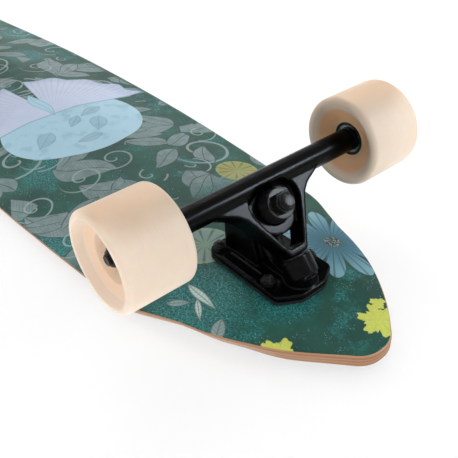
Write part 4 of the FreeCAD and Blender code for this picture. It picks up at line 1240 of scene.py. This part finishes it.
def makeMounting():
    plan = boltPlan
    foot, top, shank, socket = plan["foot"], plan["top"], plan["radius"], plan["socket"]
    core = shank - plan["threadDepth"]
    head, threadTop = plan["headRadius"], plan["threadTop"]
    upright = Matrix.Identity(4)
    # from the foot to the head, with its hexagon socket
    outline = [(0, foot), (core - 0.5, foot), (core, foot + 0.5), (core, threadTop + 0.1), (shank, threadTop + 0.4),
               (shank, top - plan["headDepth"]), (head - 0.1, top - 0.25), (head, top), (socket * 0.75, top),
               (socket * 0.7, top - 0.25, socket), (socket * 0.7, top - 1.9, socket), (0, top - 2.3)]
    thread = threadMesh(core, foot + 0.4, threadTop, plan["pitch"], upright)
    template = joinMeshes("bolt", [ringed("bolt", outline, 60, upright, False), thread])
    flip = Matrix.Translation((0, 0, plan["nutFace"] * mm)) @ Matrix.Rotation(math.pi, 4, "X")
    for endName, end in ends:
        points = boltPoints(end)
        seed = plan["seed"] + end
        name = "deckBolts_" + endName
        mesh = atPoints(name, template, points, seed, blackSteel)
        addPiece(name, mesh, "board", "black_steel", "mounting_bolts_" + endName)
        steel, ring = lockNut("deckNut", plan["nutFlats"], plan["nutHeight"], plan["nutBore"], flip)
        name = "deckNuts_" + endName
        parts = [atPoints(name, steel, points, seed, blackSteel), atPoints(name + "Rings", ring, points, seed, nylon)]
        addJoined(name, parts, "board", "black_steel", "mounting_nuts_" + endName)


def makeAxles():
    plan = boltPlan
    radius, half, threadFoot = plan["axleRadius"], plan["axleHalf"], plan["axleThread"]
    core = radius - plan["axleThreadDepth"]
    shaft = [(0, 0), (radius, 0), (radius, threadFoot), *threadedEnd(core, threadFoot, half, plan["axleCut"])]
    for endName, end in ends:
        parts, nuts = [], []
        for _, side in sides:
            out = axleFrame(end, side, 0)
            parts.append(withMaterial(ringed("axle", shaft, 64, out, False), blackSteel))
            parts.append(threadMesh(core, threadFoot + 0.4, half - 0.6, plan["axlePitch"], out))
            foot = out @ Matrix.Translation((0, 0, plan["axleNutFoot"] * mm))
            nuts += lockNut("axleNut", plan["axleNutFlats"], plan["axleNutHeight"], core + 0.1, foot)
        body = "truck_" + endName
        addJoined("axleRod_" + endName, parts, body, "black_steel", "axle_" + endName)
        addJoined("axleLockNuts_" + endName, nuts, body, "black_steel", "axle_nuts_" + endName)


makeStacks()
makeMounting()
makeAxles()
print("fasteners ready")


wheelPlan = {
    # (radius, place along the axle, corner radius), outwards from the wheel's middle
    "tyre": ((11.6, 9.8, 0.5), (17, 17.0, 1.2), (26.8, 18.9, 1.6), (29.6, 25.25, 1.2), (35, 25.25, 4), (35, -25.25, 4),
             (29.6, -25.25, 3.4), (24.6, -21.0, 3), (16.4, -16.3, 1), (13.2, -15.8), (13.2, -15.6), (15.5, -15.6),
             (15.5, 9.6), (11.6, 9.6)),
    "segments": 144,
}


def makeWheels():
    for endName, end in ends:
        for sideName, side in sides:
            name = "%s_%s" % (endName, sideName)
            place = axleFrame(end, side, truckPlan["wheelY"])
            mesh = withMaterial(turned("tyre_" + name, wheelPlan["tyre"], wheelPlan["segments"], place, 40), urethane)
            addPiece("tyre_" + name, mesh, "rolling_wheel_" + name, "urethane", "wheel_" + name)


makeWheels()
print("wheels ready")


def paintNodes():
    # the exact parts that show as they are
    finishes = {
        "riser_pad": blackRubber, "pivot_cup": bushingUrethane, "speed_washers": brightSteel,
        "bearing_spacers": brightSteel, "bearing_inner_races": brightSteel, "wheel_core": corePlastic,
        "bearing_outer_races": brightSteel, "bearing_balls": brightSteel, "bearing_shields": blackSteel,
    }
    for name, node in nodes.items():
        kind = next((key for key in sorted(finishes, key=len, reverse=True) if name.startswith(key)), None)
        if kind:
            for slot in node.material_slots:
                slot.material = finishes[kind]


paintNodes()
print("parts painted")

print("scene done")
